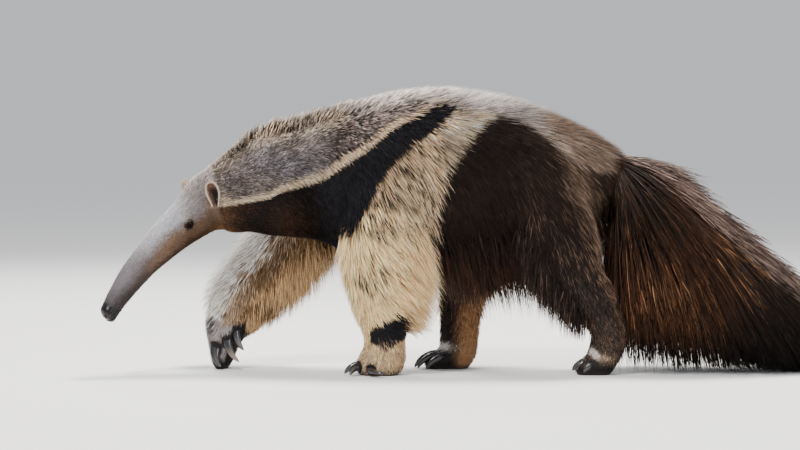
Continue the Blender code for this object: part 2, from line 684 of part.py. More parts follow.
head_body = cut("head_body", head_all)
flesh_room = [grown(head_body, G), grown(body, G)]
EAR_UP_DIR = {"left": (-0.16, -0.14, 0.98), "right": (-0.20, 0.16, 0.97)}
EAR_OPEN = {"left": (-0.30, -0.95, 0.05), "right": (-0.62, 0.78, 0.05)}
for side, sign in (("left", 1.0), ("right", -1.0)):
    base = head_point(7, EAR_ALONG, EAR_UP, EAR_OUT * sign)
    leaf = ear("ear_" + side, base, EAR_UP_DIR[side], EAR_OPEN[side], sign)
    NODES["ear_" + side] = cut("ear_" + side, leaf, [], flesh_room)

# tail: its root wraps the rump and keeps clear of the thighs
tail_all = loft("tail_all", blend_rows(tail_rows(), 18), 16, 0.01, 0.012, 2.2)
for v in tail_all.data.vertices:
    if v.co.z < 0.0012:
        v.co.z = 0.0
NODES["tail"] = cut("tail", tail_all, [], [grown(body, 2 * G)])

# ------------------------------------------------------------------ finish
LOOK = {"neck": "coat_grey", "trunk": "coat_grey", "tail": "coat_brown",
        "foreleg_left": "coat_cream", "foreleg_right": "coat_cream",
        "hindleg_left": "coat_brown", "hindleg_right": "coat_brown",
        "hand_left": "coat_cream", "hand_right": "coat_cream",
        "foot_left": "coat_brown", "foot_right": "coat_brown",
        "head": "face_skin", "nose": "nose_skin",
        "ear_left": "ear_skin", "ear_right": "ear_skin"}
for key, look in LOOK.items():
    finish(NODES[key], key, look)
for side in eyes:
    finish(eyes[side], "eye_" + side, "eye_glass")
for key, row in claws.items():
    for i, c in enumerate(row):
        finish(c, "claw_%s_%d" % (key, i + 1), "claw_horn")
for obj in list(CUTTERS.objects):
    drop(obj)
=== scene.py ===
# Looks of the giant anteater: one skin, its coat in tufts and locks, eyes and claws.
import bpy
import bmesh
import math
import numpy as np
from mathutils import Vector, Matrix
from mathutils.bvhtree import BVHTree


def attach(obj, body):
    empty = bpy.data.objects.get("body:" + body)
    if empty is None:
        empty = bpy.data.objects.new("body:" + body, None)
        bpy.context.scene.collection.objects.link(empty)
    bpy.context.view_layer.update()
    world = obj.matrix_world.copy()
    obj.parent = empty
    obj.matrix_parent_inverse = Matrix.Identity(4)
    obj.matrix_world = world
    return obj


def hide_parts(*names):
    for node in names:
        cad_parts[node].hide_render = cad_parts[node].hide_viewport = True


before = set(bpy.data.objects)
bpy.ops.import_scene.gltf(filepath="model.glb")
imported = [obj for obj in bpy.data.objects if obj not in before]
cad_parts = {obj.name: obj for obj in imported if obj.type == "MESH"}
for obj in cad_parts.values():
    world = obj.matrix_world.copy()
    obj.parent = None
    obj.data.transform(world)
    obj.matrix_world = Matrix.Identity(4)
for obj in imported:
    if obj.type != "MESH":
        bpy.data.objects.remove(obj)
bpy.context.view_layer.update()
RNG = np.random.default_rng(20251)

# ------------------------------------------------------------------ sizes (metres, before the shift to the frame)
ORIGIN_X = 0.318
SKIN_VOXEL = 0.0052
EYE_RADIUS = 0.0085
EYE_SINK = 0.0022            # the eyeball sits this much deeper than its solid
CLAW_LIFT = 0.0008
EAR_HEIGHT, EAR_WIDTH, EAR_CUP, EAR_SKIN = 0.054, 0.028, 0.015, 0.0022
SNOUT_DIR = Vector((-0.641, -0.375, -0.670)).normalized()
HEAD_ROLL = math.radians(1.5)

# flesh under the coat: x, y, z, half height, lean, half width, narrowing top, narrowing low
SPINE = [
    (-0.388, -0.030, 0.362, 0.0740, 30.0, 0.0555, 0.12, 0.05),
    (-0.360, -0.022, 0.376, 0.0810, 26.0, 0.0605, 0.14, 0.05),
    (-0.313, -0.012, 0.390, 0.1000, 17.0, 0.0720, 0.24, 0.05),
    (-0.271, -0.005, 0.402, 0.1160, 16.5, 0.0810, 0.30, 0.05),
    (-0.205,  0.000, 0.408, 0.1230, 12.0, 0.0960, 0.30, 0.08),
    (-0.151,  0.000, 0.408, 0.1420,  8.0, 0.1100, 0.28, 0.10),
    (-0.072,  0.000, 0.407, 0.1650,  3.5, 0.1220, 0.26, 0.14),
    ( 0.027,  0.000, 0.414, 0.1780,  1.5, 0.1310, 0.24, 0.20),
    ( 0.107,  0.000, 0.416, 0.1770,  0.0, 0.1350, 0.22, 0.26),
    ( 0.185,  0.000, 0.413, 0.1680, -2.3, 0.1370, 0.20, 0.26),
    ( 0.258,  0.000, 0.406, 0.1560, -3.2, 0.1350, 0.18, 0.20),
    ( 0.322,  0.000, 0.402, 0.1380, -7.5, 0.1250, 0.18, 0.14),
    ( 0.379,  0.000, 0.402, 0.1160, -5.6, 0.1030, 0.16, 0.10),
    ( 0.424,  0.000, 0.404, 0.0880, -6.0, 0.0780, 0.14, 0.10),
]
# bone and muscle of the tail: x, y, z, radius
TAIL = [
    (0.385, 0.000, 0.418, 0.080), (0.423, 0.000, 0.410, 0.070), (0.470, 0.000, 0.395, 0.062),
    (0.516, 0.000, 0.367, 0.055), (0.570, 0.002, 0.330, 0.050), (0.624, 0.004, 0.290, 0.045),
    (0.732, 0.009, 0.207, 0.036), (0.840, 0.010, 0.130, 0.028), (0.949, 0.007, 0.072, 0.022),
    (1.057, 0.001, 0.038, 0.016), (1.143, -.002, 0.024, 0.010), (1.185, -.004, 0.019, 0.006),
]
# legs: x, y, z, half length fore and aft, lean, half width
FORELEG_LEFT = [
    (-0.012, -0.062, 0.500, 0.0640, 90.0, 0.034),
    (-0.026, -0.084, 0.400, 0.0830, 90.0, 0.050),
    (-0.038, -0.101, 0.298, 0.0860, 90.0, 0.057),
    (-0.040, -0.103, 0.222, 0.0770, 90.0, 0.057),
    (-0.037, -0.101, 0.169, 0.0660, 90.0, 0.053),
    (-0.033, -0.097, 0.117, 0.0540, 90.0, 0.047),
    (-0.033, -0.093, 0.087, 0.0440, 90.0, 0.041),
    (-0.033, -0.089, 0.061, 0.0420, 90.0, 0.039),
    (-0.038, -0.087, 0.036, 0.0490, 90.0, 0.043),
    (-0.044, -0.086, 0.010, 0.0470, 90.0, 0.043),
    (-0.044, -0.086, -.012, 0.0300, 90.0, 0.030),
]
FORELEG_RIGHT = [
    (-0.100, 0.060, 0.480, 0.0640, 80.0, 0.034),
    (-0.160, 0.082, 0.385, 0.0780, 80.0, 0.048),
    (-0.214, 0.094, 0.308, 0.0820, 80.0, 0.056),
    (-0.256, 0.098, 0.253, 0.0830, 78.8, 0.058),
    (-0.302, 0.093, 0.197, 0.0790, 78.4, 0.055),
    (-0.337, 0.085, 0.154, 0.0690, 76.7, 0.050),
    (-0.364, 0.076, 0.107, 0.0560, 65.8, 0.043),
    (-0.379, 0.068, 0.081, 0.0420, 73.4, 0.038),
    (-0.383, 0.062, 0.053, 0.0325, 86.3, 0.037),
    (-0.386, 0.061, 0.026, 0.0250, 90.0, 0.034),
    (-0.388, 0.061, 0.008, 0.0190, 90.0, 0.028),
    (-0.388, 0.061, -.006, 0.0090, 90.0, 0.016),
]
HINDLEG_LEFT = [
    (0.285, -0.060, 0.470, 0.0680, 90.0, 0.044),
    (0.307, -0.080, 0.378, 0.0840, 90.0, 0.058),
    (0.335, -0.092, 0.287, 0.0820, 90.0, 0.060),
    (0.362, -0.094, 0.217, 0.0680, 90.0, 0.053),
    (0.394, -0.092, 0.172, 0.0590, 90.0, 0.046),
    (0.419, -0.088, 0.131, 0.0500, 90.0, 0.042),
    (0.443, -0.083, 0.088, 0.0370, 90.0, 0.038),
    (0.441, -0.079, 0.062, 0.0370, 90.0, 0.037),
    (0.434, -0.077, 0.037, 0.0365, 90.0, 0.038),
    (0.427, -0.075, 0.012, 0.0270, 90.0, 0.035),
    (0.422, -0.075, -.010, 0.0170, 90.0, 0.026),
]
HINDLEG_RIGHT = [
    (0.285, 0.060, 0.470, 0.0680, 84.0, 0.044),
    (0.252, 0.082, 0.360, 0.0860, 84.0, 0.058),
    (0.207, 0.090, 0.272, 0.0840, 86.8, 0.059),
    (0.159, 0.088, 0.212, 0.0600, 90.0, 0.051),
    (0.136, 0.083, 0.162, 0.0430, 90.0, 0.044),
    (0.133, 0.077, 0.119, 0.0415, 90.0, 0.040),
    (0.130, 0.071, 0.082, 0.0395, 90.0, 0.038),
    (0.128, 0.067, 0.050, 0.0400, 90.0, 0.038),
    (0.127, 0.065, 0.026, 0.0375, 90.0, 0.038),
    (0.124, 0.065, 0.004, 0.0270, 90.0, 0.034),
    (0.121, 0.065, -.012, 0.0170, 90.0, 0.025),
]
FOOT_LEFT = dict(y=-0.075, rows=[(0.441, 0.018, 0.0170, 0.025), (0.427, 0.020, 0.029, 0.035),
                                 (0.408, 0.019, 0.0270, 0.039), (0.388, 0.014, 0.019, 0.036)])
FOOT_RIGHT = dict(y=0.065, rows=[(0.133, 0.018, 0.0170, 0.025), (0.114, 0.020, 0.029, 0.035),
                                 (0.092, 0.018, 0.0270, 0.039), (0.068, 0.013, 0.018, 0.037)])
# head: centre, half height, half width, narrowing top, narrowing chin
HEAD = [
    (-0.6116, -0.1577, 0.1358, 0.0199, 0.0195, 0.00, 0.05),
    (-0.5942, -0.1428, 0.1676, 0.0229, 0.0202, 0.05, 0.10),
    (-0.5691, -0.1246, 0.2050, 0.0283, 0.0227, 0.08, 0.15),
    (-0.5389, -0.1050, 0.2425, 0.0319, 0.0250, 0.08, 0.18),
    (-0.5047, -0.0847, 0.2789, 0.0381, 0.0291, 0.08, 0.20),
    (-0.4730, -0.0671, 0.3085, 0.0430, 0.0358, 0.08, 0.22),
    (-0.4360, -0.0480, 0.3382, 0.0515, 0.0442, 0.08, 0.20),
    (-0.3985, -0.0300, 0.3625, 0.0690, 0.0530, 0.08, 0.12),
]
EYE_ALONG, EYE_UP, EYE_OUT = 0.0375, 0.0080, 0.0372
EAR_ALONG, EAR_UP, EAR_OUT = 0.0140, 0.0170, 0.0535
# claws: base, first direction, curl direction, length, radius, turn in degrees
CLAWS = {
    "hand_left": [
        ((-0.060, -0.124, 0.0150), (-0.15, -0.93, -0.10), (1.00, 0.22, 0.00), 0.056, 0.0085, 96),
        ((-0.088, -0.106, 0.0185), (-0.80, -0.58, -0.05), (0.45, -0.45, -0.75), 0.036, 0.0098, 66),
        ((-0.088, -0.080, 0.0190), (-0.97, -0.05, 0.00), (0.20, -0.15, -0.95), 0.036, 0.0094, 62),
        ((-0.074, -0.055, 0.0165), (-0.90, 0.35, 0.00), (0.20, 0.00, -1.00), 0.028, 0.0074, 62),
    ],
    "hand_right": [
        ((-0.398, 0.031, 0.050), (-0.28, -0.36, -0.89), (0.95, -0.05, 0.10), 0.050, 0.0125, 62),
        ((-0.374, 0.026, 0.066), (0.06, -0.30, -0.95), (0.95, 0.05, 0.10), 0.058, 0.0096, 52),
        ((-0.357, 0.037, 0.086), (0.06, -0.25, -0.97), (0.90, 0.10, 0.20), 0.050, 0.0100, 40),
        ((-0.404, 0.082, 0.030), (-0.15, 0.20, -0.95), (0.95, 0.00, 0.05), 0.030, 0.0070, 60),
    ],
    "foot_left": [], "foot_right": [],
}
for key, x0, y0, length in (("foot_left", 0.396, -0.075, 0.036), ("foot_right", 0.078, 0.065, 0.058)):
    for i in range(5):
        k = i - 2
        CLAWS[key].append(((x0 + 0.0035 * k * k, y0 + 0.0160 * k, 0.0255 - 0.0012 * k * k),
                           (-0.95, 0.14 * k, 0.02), (-0.25, 0.0, -0.95),
                           length * (1.0 - 0.06 * k * k), 0.0090, 70))


# ------------------------------------------------------------------ small tools
def unit(v):
    return v / np.maximum(np.linalg.norm(v, axis=-1, keepdims=True), 1e-9)


def smooth(lo, hi, x):
    t = np.clip((np.asarray(x, float) - lo) / (hi - lo), 0.0, 1.0)
    return t * t * (3 - 2 * t)


def mix(a, b, t):
    t = np.asarray(t, float)
    if np.ndim(a) > np.ndim(t) or np.ndim(b) > np.ndim(t):
        t = t[..., None]
    return a * (1 - t) + b * t


def lerp_table(x, table):
    xs, ys = zip(*table)
    return np.interp(x, xs, ys)


def linear(rgb):
    c = np.asarray(rgb, float) / 255.0
    return np.where(c <= 0.04045, c / 12.92, ((c + 0.055) / 1.055) ** 2.4)


def hash01(ix, iy, iz, seed):
    h = (ix.astype(np.uint64) * np.uint64(73856093)) ^ (iy.astype(np.uint64) * np.uint64(19349663)) \
        ^ (iz.astype(np.uint64) * np.uint64(83492791)) ^ np.uint64(seed * 7919 + 17)
    h = (h ^ (h >> np.uint64(13))) * np.uint64(0x5bd1e995)
    h = (h ^ (h >> np.uint64(15))) * np.uint64(0x27d4eb2d)
    h = h ^ (h >> np.uint64(16))
    return (h & np.uint64(0xffffff)).astype(float) / float(0xffffff)


def noise(P, size, seed=0):
    """Smooth noise from 0 to 1; size is the grain in metres, one number or three."""
    q = np.asarray(P, float) / np.asarray(size, float) + 1000.0
    i = np.floor(q).astype(np.int64)
    f = q - i
    f = f * f * (3 - 2 * f)
    out = 0.0
    for dx in (0, 1):
        for dy in (0, 1):
            for dz in (0, 1):
                w = (f[..., 0] if dx else 1 - f[..., 0]) * (f[..., 1] if dy else 1 - f[..., 1]) \
                    * (f[..., 2] if dz else 1 - f[..., 2])
                out = out + w * hash01(i[..., 0] + dx, i[..., 1] + dy, i[..., 2] + dz, seed)
    return out


# ------------------------------------------------------------------ lofts
def blend_rows(rows, count):
    rows = np.array(rows, float)
    step = np.linalg.norm(np.diff(rows[:, :3], axis=0), axis=1)
    t = np.concatenate([[0.0], np.cumsum(step)])
    slope = np.zeros_like(rows)
    slope[1:-1] = (rows[2:] - rows[:-2]) / (t[2:] - t[:-2])[:, None]
    slope[0] = (rows[1] - rows[0]) / (t[1] - t[0])
    slope[-1] = (rows[-1] - rows[-2]) / (t[-1] - t[-2])
    out = []
    for s in np.linspace(0.0, t[-1], count):
        i = max(0, min(int(np.searchsorted(t, s, side='right')) - 1, len(t) - 2))
        h = t[i + 1] - t[i]
        k = (s - t[i]) / h
        out.append((2 * k**3 - 3 * k**2 + 1) * rows[i] + (k**3 - 2 * k**2 + k) * h * slope[i]
                   + (3 * k**2 - 2 * k**3) * rows[i + 1] + (k**3 - k**2) * h * slope[i + 1])
    return np.array(out)


def ring_points(row, seg, power=2.25):
    c, u, v = row[0:3], row[3:6], row[6:9]
    a = 2.0 * np.pi * (np.arange(seg) + 0.5) / seg
    ca, sa = np.cos(a), np.sin(a)
    h = np.sign(ca) * np.abs(ca) ** (2.0 / power)
    w = np.sign(sa) * np.abs(sa) ** (2.0 / power)
    w = w * (1.0 - np.where(h > 0, row[9], row[10]) * np.abs(h) ** 1.5)
    return c + h[:, None] * u + w[:, None] * v


def cap_rows(row, axis, length, steps=5, blunt=0.8):
    out = []
    for i in range(1, steps + 1):
        a = 0.5 * math.pi * i / (steps + 0.6)
        r = row.copy()
        r[0:3] = row[0:3] + axis * length * math.sin(a)
        r[3:9] = row[3:9] * math.cos(a) ** blunt
        out.append(r)
    return out


def loft(rows, seg, cap_start=None, cap_end=None, power=2.25, relief=None, caps=5):
    """Corners and faces of a closed skin over ring sections."""
    rows = [np.array(r, float) for r in rows]
    if cap_start is not None:
        axis = rows[0][0:3] - rows[1][0:3]
        rows = cap_rows(rows[0], axis / np.linalg.norm(axis), cap_start, caps)[::-1] + rows
    if cap_end is not None:
        axis = rows[-1][0:3] - rows[-2][0:3]
        rows = rows + cap_rows(rows[-1], axis / np.linalg.norm(axis), cap_end, caps)
    rings = [ring_points(r, seg, power) for r in rows]
    if relief:
        rings = [relief(np.array(r[0:3]), p) for r, p in zip(rows, rings)]
    verts = [tuple(p) for ring in rings for p in ring]
    faces = []
    for k in range(len(rings) - 1):
        for i in range(seg):
            j = (i + 1) % seg
            faces.append((k * seg + i, k * seg + j, (k + 1) * seg + j, (k + 1) * seg + i))
    for k in (0, len(rings) - 1):
        mid = len(verts)
        verts.append(tuple(rings[k].mean(0)))
        for i in range(seg):
            faces.append((k * seg + i, k * seg + (i + 1) % seg, mid))
    return verts, faces


def merged(parts):
    verts, faces = [], []
    for v, f in parts:
        n = len(verts)
        verts += v
        faces += [tuple(i + n for i in face) for face in f]
    return verts, faces


def raw_object(name, verts, faces):
    mesh = bpy.data.meshes.new(name)
    mesh.from_pydata(verts, [], faces)
    bm = bmesh.new()
    bm.from_mesh(mesh)
    bmesh.ops.recalc_face_normals(bm, faces=bm.faces)
    bm.to_mesh(mesh)
    bm.free()
    obj = bpy.data.objects.new(name, mesh)
    bpy.context.scene.collection.objects.link(obj)
    return obj


def evaluated(obj, name):
    bpy.context.view_layer.update()
    graph = bpy.context.evaluated_depsgraph_get()
    mesh = bpy.data.meshes.new_from_object(obj.evaluated_get(graph))
    bpy.data.objects.remove(obj, do_unlink=True)
    new = bpy.data.objects.new(name, mesh)
    bpy.context.scene.collection.objects.link(new)
    return new


def coords(mesh):
    co = np.empty(len(mesh.vertices) * 3)
    mesh.vertices.foreach_get("co", co)
    return co.reshape(-1, 3)


def set_coords(mesh, co):
    mesh.vertices.foreach_set("co", np.ascontiguousarray(co, dtype=np.float32).ravel())
    mesh.update()


def normals_of(mesh):
    n = np.empty(len(mesh.vertices) * 3, dtype=np.float32)
    mesh.vertex_normals.foreach_get("vector", n)
    return n.reshape(-1, 3).astype(float)


def spine_rows():
    out = []
    for x, y, z, h, lean, w, top, low in SPINE:
        a = math.radians(lean)
        out.append([x, y, z, -math.sin(a) * h, 0.0, math.cos(a) * h, 0.0, -w, 0.0, top, low])
    return out


def tail_rows():
    """Round sections at right angles to the tail's own line."""
    pts = np.array([r[:3] for r in TAIL])
    out = []
    for i, (x, y, z, r) in enumerate(TAIL):
        t = pts[min(i + 1, len(pts) - 1)] - pts[max(i - 1, 0)]
        t = t / np.linalg.norm(t)
        up = np.array([0, 0, 1.0]) - t * t[2]
        up = up / np.linalg.norm(up)
        side = np.cross(t, up)
        out.append([x, y, z] + list(up * r) + list(side * r) + [0.0, 0.0])
    return out


def leg_rows(table):
    out = []
    for x, y, z, h, lean, w in table:
        a = math.radians(lean)
        out.append([x, y, z, -math.sin(a) * h, 0.0, math.cos(a) * h, 0.0, -w, 0.0, 0.10, 0.10])
    return out


def foot_rows(table):
    return [[x, table["y"], z, 0.0, 0.0, h, 0.0, -w, 0.0, 0.25, 0.0] for x, z, h, w in table["rows"]]


def head_frame():
    d = SNOUT_DIR
    up = (Vector((0, 0, 1)) - d * d.z).normalized()
    left = up.cross(d).normalized()
    c, s = math.cos(HEAD_ROLL), math.sin(HEAD_ROLL)
    return d, up * c + left * s, left * c - up * s


HEAD_D, HEAD_UP, HEAD_LEFT = head_frame()
HD, HU, HL = (np.array(v) for v in (HEAD_D, HEAD_UP, HEAD_LEFT))
TIP = np.array(HEAD[0][:3])


def head_rows():
    out = []
    for x, y, z, h, w, top, low in HEAD:
        out.append([x, y, z] + list(HEAD_UP * h) + list(HEAD_LEFT * w) + [top, low])
    x, y, z, h, lean, w, top, low = SPINE[1]
    a = math.radians(lean)
    out.append([x, y, z, -math.sin(a) * h, 0.0, math.cos(a) * h, 0.0, -w, 0.0, top, low])
    return out


def head_point(station, along, up, out):
    return Vector(HEAD[station][:3]) + HEAD_D * along + HEAD_UP * up + HEAD_LEFT * out


EYES = {"left": np.array(head_point(6, EYE_ALONG, EYE_UP, EYE_OUT)),
        "right": np.array(head_point(6, EYE_ALONG, EYE_UP, -EYE_OUT))}
SIGN = {"left": 1.0, "right": -1.0}


def head_relief(centre, pts):
    """Brow, hollow before and under the eye, cheek, temple hollow and a soft ridge from the cheek bone toward the
    snout.
    """
    away = unit(pts - centre)
    push = np.zeros(len(pts))
    for side, sign in SIGN.items():
        e = EYES[side]
        for at, size, amount in (
                (e + HU * 0.0145 - HD * 0.004 + HL * sign * 0.002, 0.0130, 0.0034),     # brow
                (e + HD * 0.0240 - HU * 0.001, 0.0130, -0.0026),                        # tear hollow
                (e - HU * 0.0150 + HD * 0.006, 0.0090, -0.0012),                        # under the eye
                (e - HU * 0.0300 - HD * 0.018, 0.0240, 0.0034),                         # cheek
                (e - HD * 0.0300 + HU * 0.002, 0.0130, -0.0014),                        # temple
        ):
            push += amount * np.exp(-(np.linalg.norm(pts - at, axis=1) / size) ** 2)
        # the cheek bone runs on as a soft ridge toward the snout
        rel = pts - (e - HU * 0.016)
        along = rel @ HD
        off = np.linalg.norm(rel - np.outer(along, HD), axis=1)
        push += 0.0012 * np.exp(-(off / 0.008) ** 2) * smooth(0.0, 0.03, along) * (1 - smooth(0.09, 0.15, along))
    return pts + away * push[:, None]


def claw_rows(base, start, curl, length, radius, turn, flat=0.72, steps=4, ridge=0.0):
    start = Vector(start).normalized()
    curl = Vector(curl)
    curl = (curl - start * curl.dot(start)).normalized()
    side = start.cross(curl)
    pos = Vector(base)
    out = []
    for i in range(steps + 1):
        t = i / steps
        a = math.radians(turn) * t
        d = start * math.cos(a) + curl * math.sin(a)
        back = curl * math.cos(a) - start * math.sin(a)
        r = radius * (1.0 - t) ** 0.55 * 0.90 + radius * 0.10 * (1 - t) + 0.0007
        r *= 1.0 + ridge * math.sin(46.0 * t) * (1 - t)
        out.append(list(pos) + list(back * r) + list(side * r * flat) + [0.0, 0.0])
        pos = pos + d * (length / steps)
    return out


def digit(row, back, reach):
    base, start, _, _, radius, _ = row
    d = Vector(start).normalized()
    up = (Vector((0, 0, 1)) - d * d.z)
    up = up.normalized() if up.length > 0.2 else Vector((1, 0, 0))
    side = d.cross(up).normalized()
    r = radius * 1.18
    rows = [list(Vector(base) + d * s) + list(up * r * k) + list(side * r * k) + [0.0, 0.0]
            for s, k in ((-back, 1.15), (-back * 0.4, 1.10), (reach, 0.90))]
    return loft(rows, 16, 0.006, 0.004, 2.0)


# ------------------------------------------------------------------ where a point lies on the animal
class Chart:
    """Sections of one part; place() gives the share along it, the way round it and how far out."""

    def __init__(self, rows, count):
        self.rows = blend_rows(rows, count)
        r = self.rows
        self.c, self.u, self.v = r[:, 0:3], r[:, 3:6], r[:, 6:9]
        self.n = unit(np.cross(self.u, self.v))
        self.gap = np.linalg.norm(np.diff(self.c, axis=0), axis=1).mean()

    def place(self, P):
        best = np.full(len(P), 1e9)
        at = np.zeros(len(P), int)
        for i in range(len(self.c)):
            d = P - self.c[i]
            cost = (d @ self.n[i]) ** 2 * 4 + 0.15 * (d ** 2).sum(1)
            m = cost < best
            best[m] = cost[m]
            at[m] = i
        d = P - self.c[at]
        a = (d * self.u[at]).sum(1) / (self.u[at] ** 2).sum(1)
        b = (d * self.v[at]).sum(1) / (self.v[at] ** 2).sum(1)
        e = np.abs((d * self.n[at]).sum(1))
        q = np.sqrt(a * a + b * b + (np.maximum(0, e - self.gap) / 0.03) ** 2)
        return at / (len(self.c) - 1.0), a, b, q


CHARTS = {
    "spine": Chart(spine_rows()[1:], 60),
    "head": Chart(head_rows(), 40),
    "tail": Chart(tail_rows()[1:], 40),
    "foreleg_left": Chart(leg_rows(FORELEG_LEFT)[1:-1], 40),
    "foreleg_right": Chart(leg_rows(FORELEG_RIGHT)[1:-1], 40),
    "hindleg_left": Chart(leg_rows(HINDLEG_LEFT)[1:-1], 40),
    "hindleg_right": Chart(leg_rows(HINDLEG_RIGHT)[1:-1], 40),
}
PARTS = list(CHARTS)
LEGS = PARTS[3:]


# ------------------------------------------------------------------ skin
def make_skin():
    parts = [
        loft(blend_rows(spine_rows(), 80), 64, 0.02, 0.03),
        loft(blend_rows(tail_rows(), 60), 32, 0.02, 0.006, 2.0),
        loft(blend_rows(leg_rows(FORELEG_LEFT), 50), 40, 0.05, 0.01),
        loft(blend_rows(leg_rows(FORELEG_RIGHT), 50), 40, 0.04, 0.01),
        loft(blend_rows(leg_rows(HINDLEG_LEFT), 50), 40, 0.04, 0.01),
        loft(blend_rows(leg_rows(HINDLEG_RIGHT), 50), 40, 0.04, 0.01),
        loft(blend_rows(foot_rows(FOOT_LEFT), 16), 28, 0.014, 0.014),
        loft(blend_rows(foot_rows(FOOT_RIGHT), 16), 28, 0.014, 0.014),
        loft(blend_rows(head_rows(), 80), 48, 0.0125, 0.02, 2.1, head_relief),
    ]
    for key, rows in CLAWS.items():
        reach = 0.006 if key.startswith("foot") else 0.004
        parts += [digit(row, 0.026, reach) for row in rows]
    obj = raw_object("skin_sum", *merged(parts))
    mod = obj.modifiers.new("join", 'REMESH')
    mod.mode = 'VOXEL'
    mod.voxel_size = SKIN_VOXEL
    mod = obj.modifiers.new("ease", 'SMOOTH')
    mod.factor = 0.5
    mod.iterations = 5
    obj = evaluated(obj, "skin_soft")
    co = coords(obj.data)
    group = obj.vertex_groups.new(name="flow")
    body = smooth(0.13, 0.23, co[:, 2]) * smooth(-0.44, -0.36, co[:, 0]) * (1 - smooth(0.42, 0.48, co[:, 0]))
    for k in range(1, 21):
        level = np.where(np.round(body * 20) == k)[0]
        if len(level):
            group.add([int(i) for i in level], k / 20.0, 'REPLACE')
    mod = obj.modifiers.new("flow", 'SMOOTH')
    mod.factor = 0.5
    mod.iterations = 60
    mod.vertex_group = "flow"
    obj = evaluated(obj, "skin")
    return obj


def head_coords(P):
    """Distance back from the snout tip, height and side offset from the head's own line."""
    d = -(P - TIP) @ HD
    rows = CHARTS["head"].rows
    line_d = -(rows[:, 0:3] - TIP) @ HD
    cx = np.stack([np.interp(d, line_d, rows[:, k]) for k in range(3)], 1)
    rel = P - cx
    return d, rel @ HU, rel @ HL


def refine(mesh, where, rounds=1):
    """Splits the faces whose corners all lie in 'where(co)'."""
    for _ in range(rounds):
        bm = bmesh.new()
        bm.from_mesh(mesh)
        bm.verts.ensure_lookup_table()
        co = np.array([v.co for v in bm.verts])
        inside = where(co)
        faces = [f for f in bm.faces if all(inside[v.index] for v in f.verts)]
        edges = {e for f in faces for e in f.edges}
        bmesh.ops.subdivide_edges(bm, edges=list(edges), cuts=1, use_grid_fill=True)
        bm.to_mesh(mesh)
        bm.free()


skin = make_skin()
mesh = skin.data

CLAW_LINE = []
for key, rows in CLAWS.items():
    for row in rows:
        line = claw_rows(*row, steps=10)
        flat = loft(claw_rows(*row), 6, None, None, 2.0)[0]
        lift = max(0.0, CLAW_LIFT - min(q[2] for q in flat))
        for k, r in enumerate(line):
            size = math.sqrt(r[3] ** 2 + r[4] ** 2 + r[5] ** 2)
            CLAW_LINE.append((r[0], r[1], r[2] + lift, size, 1.0 if k < 3 else 0.0))
CLAW_LINE = np.array(CLAW_LINE)


def claw_gap(P, roots=False):
    """Distance to the nearest claw's surface, or to the first third of it."""
    line = CLAW_LINE[CLAW_LINE[:, 4] > 0] if roots else CLAW_LINE
    out = np.full(len(P), 1.0)
    low = np.where(P[:, 2] < 0.13)[0]
    for at in np.array_split(low, max(1, len(low) // 20000)):
        gap = np.linalg.norm(P[at][:, None, :] - line[None, :, :3], axis=2) - line[None, :, 3]
        out[at] = gap.min(1)
    return out


def head_near(co):
    d = -(co - TIP) @ HD
    rel = (co - TIP) + np.outer(d, HD)
    return (d < 0.318) & (np.linalg.norm(rel, axis=1) < 0.16) & (co[:, 0] < -0.37) & (co[:, 2] > 0.10) & (co[:, 1] < 0.045)


def toes_near(co):
    return co[:, 2] < 0.075


def eye_near(co):
    m = np.zeros(len(co), bool)
    for e in EYES.values():
        m |= np.linalg.norm(co - e, axis=1) < 0.023
    return m


def nose_near(co):
    return np.linalg.norm(co - TIP, axis=1) < 0.032


refine(mesh, head_near, 1)
refine(mesh, toes_near, 1)
# the head takes its exact form from its own loft again, blended into the neck
hv, hf = loft(blend_rows(head_rows(), 150), 120, 0.0125, 0.02, 2.1, head_relief, 10)
head_tree = BVHTree.FromPolygons(hv, hf)


def to_head(mesh):
    co = coords(mesh)
    near = np.where(head_near(co))[0]
    d, _, _ = head_coords(co[near])
    w = 1 - smooth(0.240, 0.300, d)
    for i, k in zip(near, w):
        if k > 0.0:
            hit = head_tree.find_nearest(Vector(co[i]))
            if hit[0] is not None:
                co[i] = co[i] * (1 - k) + np.array(hit[0]) * k
    set_coords(mesh, co)


to_head(mesh)
refine(mesh, lambda co: eye_near(co) | nose_near(co), 2)
to_head(mesh)


# lids: an almond opening over each eyeball, with a thick rim and soft folds round it
def eye_axes(side):
    sign = SIGN[side]
    out = unit(HL * sign * 1.0 + HU * 0.20 + HD * 0.22)
    fwd = unit(HD - out * (HD @ out))
    fwd = unit(fwd - HU * 0.22)
    fwd = unit(fwd - out * (fwd @ out))
    up = np.cross(out, fwd) * sign
    if up @ HU < 0:
        up = -up
    return out, fwd, up


EYE_AT = {}
for side in EYES:
    out, fwd, up = eye_axes(side)
    EYE_AT[side] = (EYES[side] - out * EYE_SINK, out, fwd, up)

LID_LONG, LID_HIGH = 0.0076, 0.0060


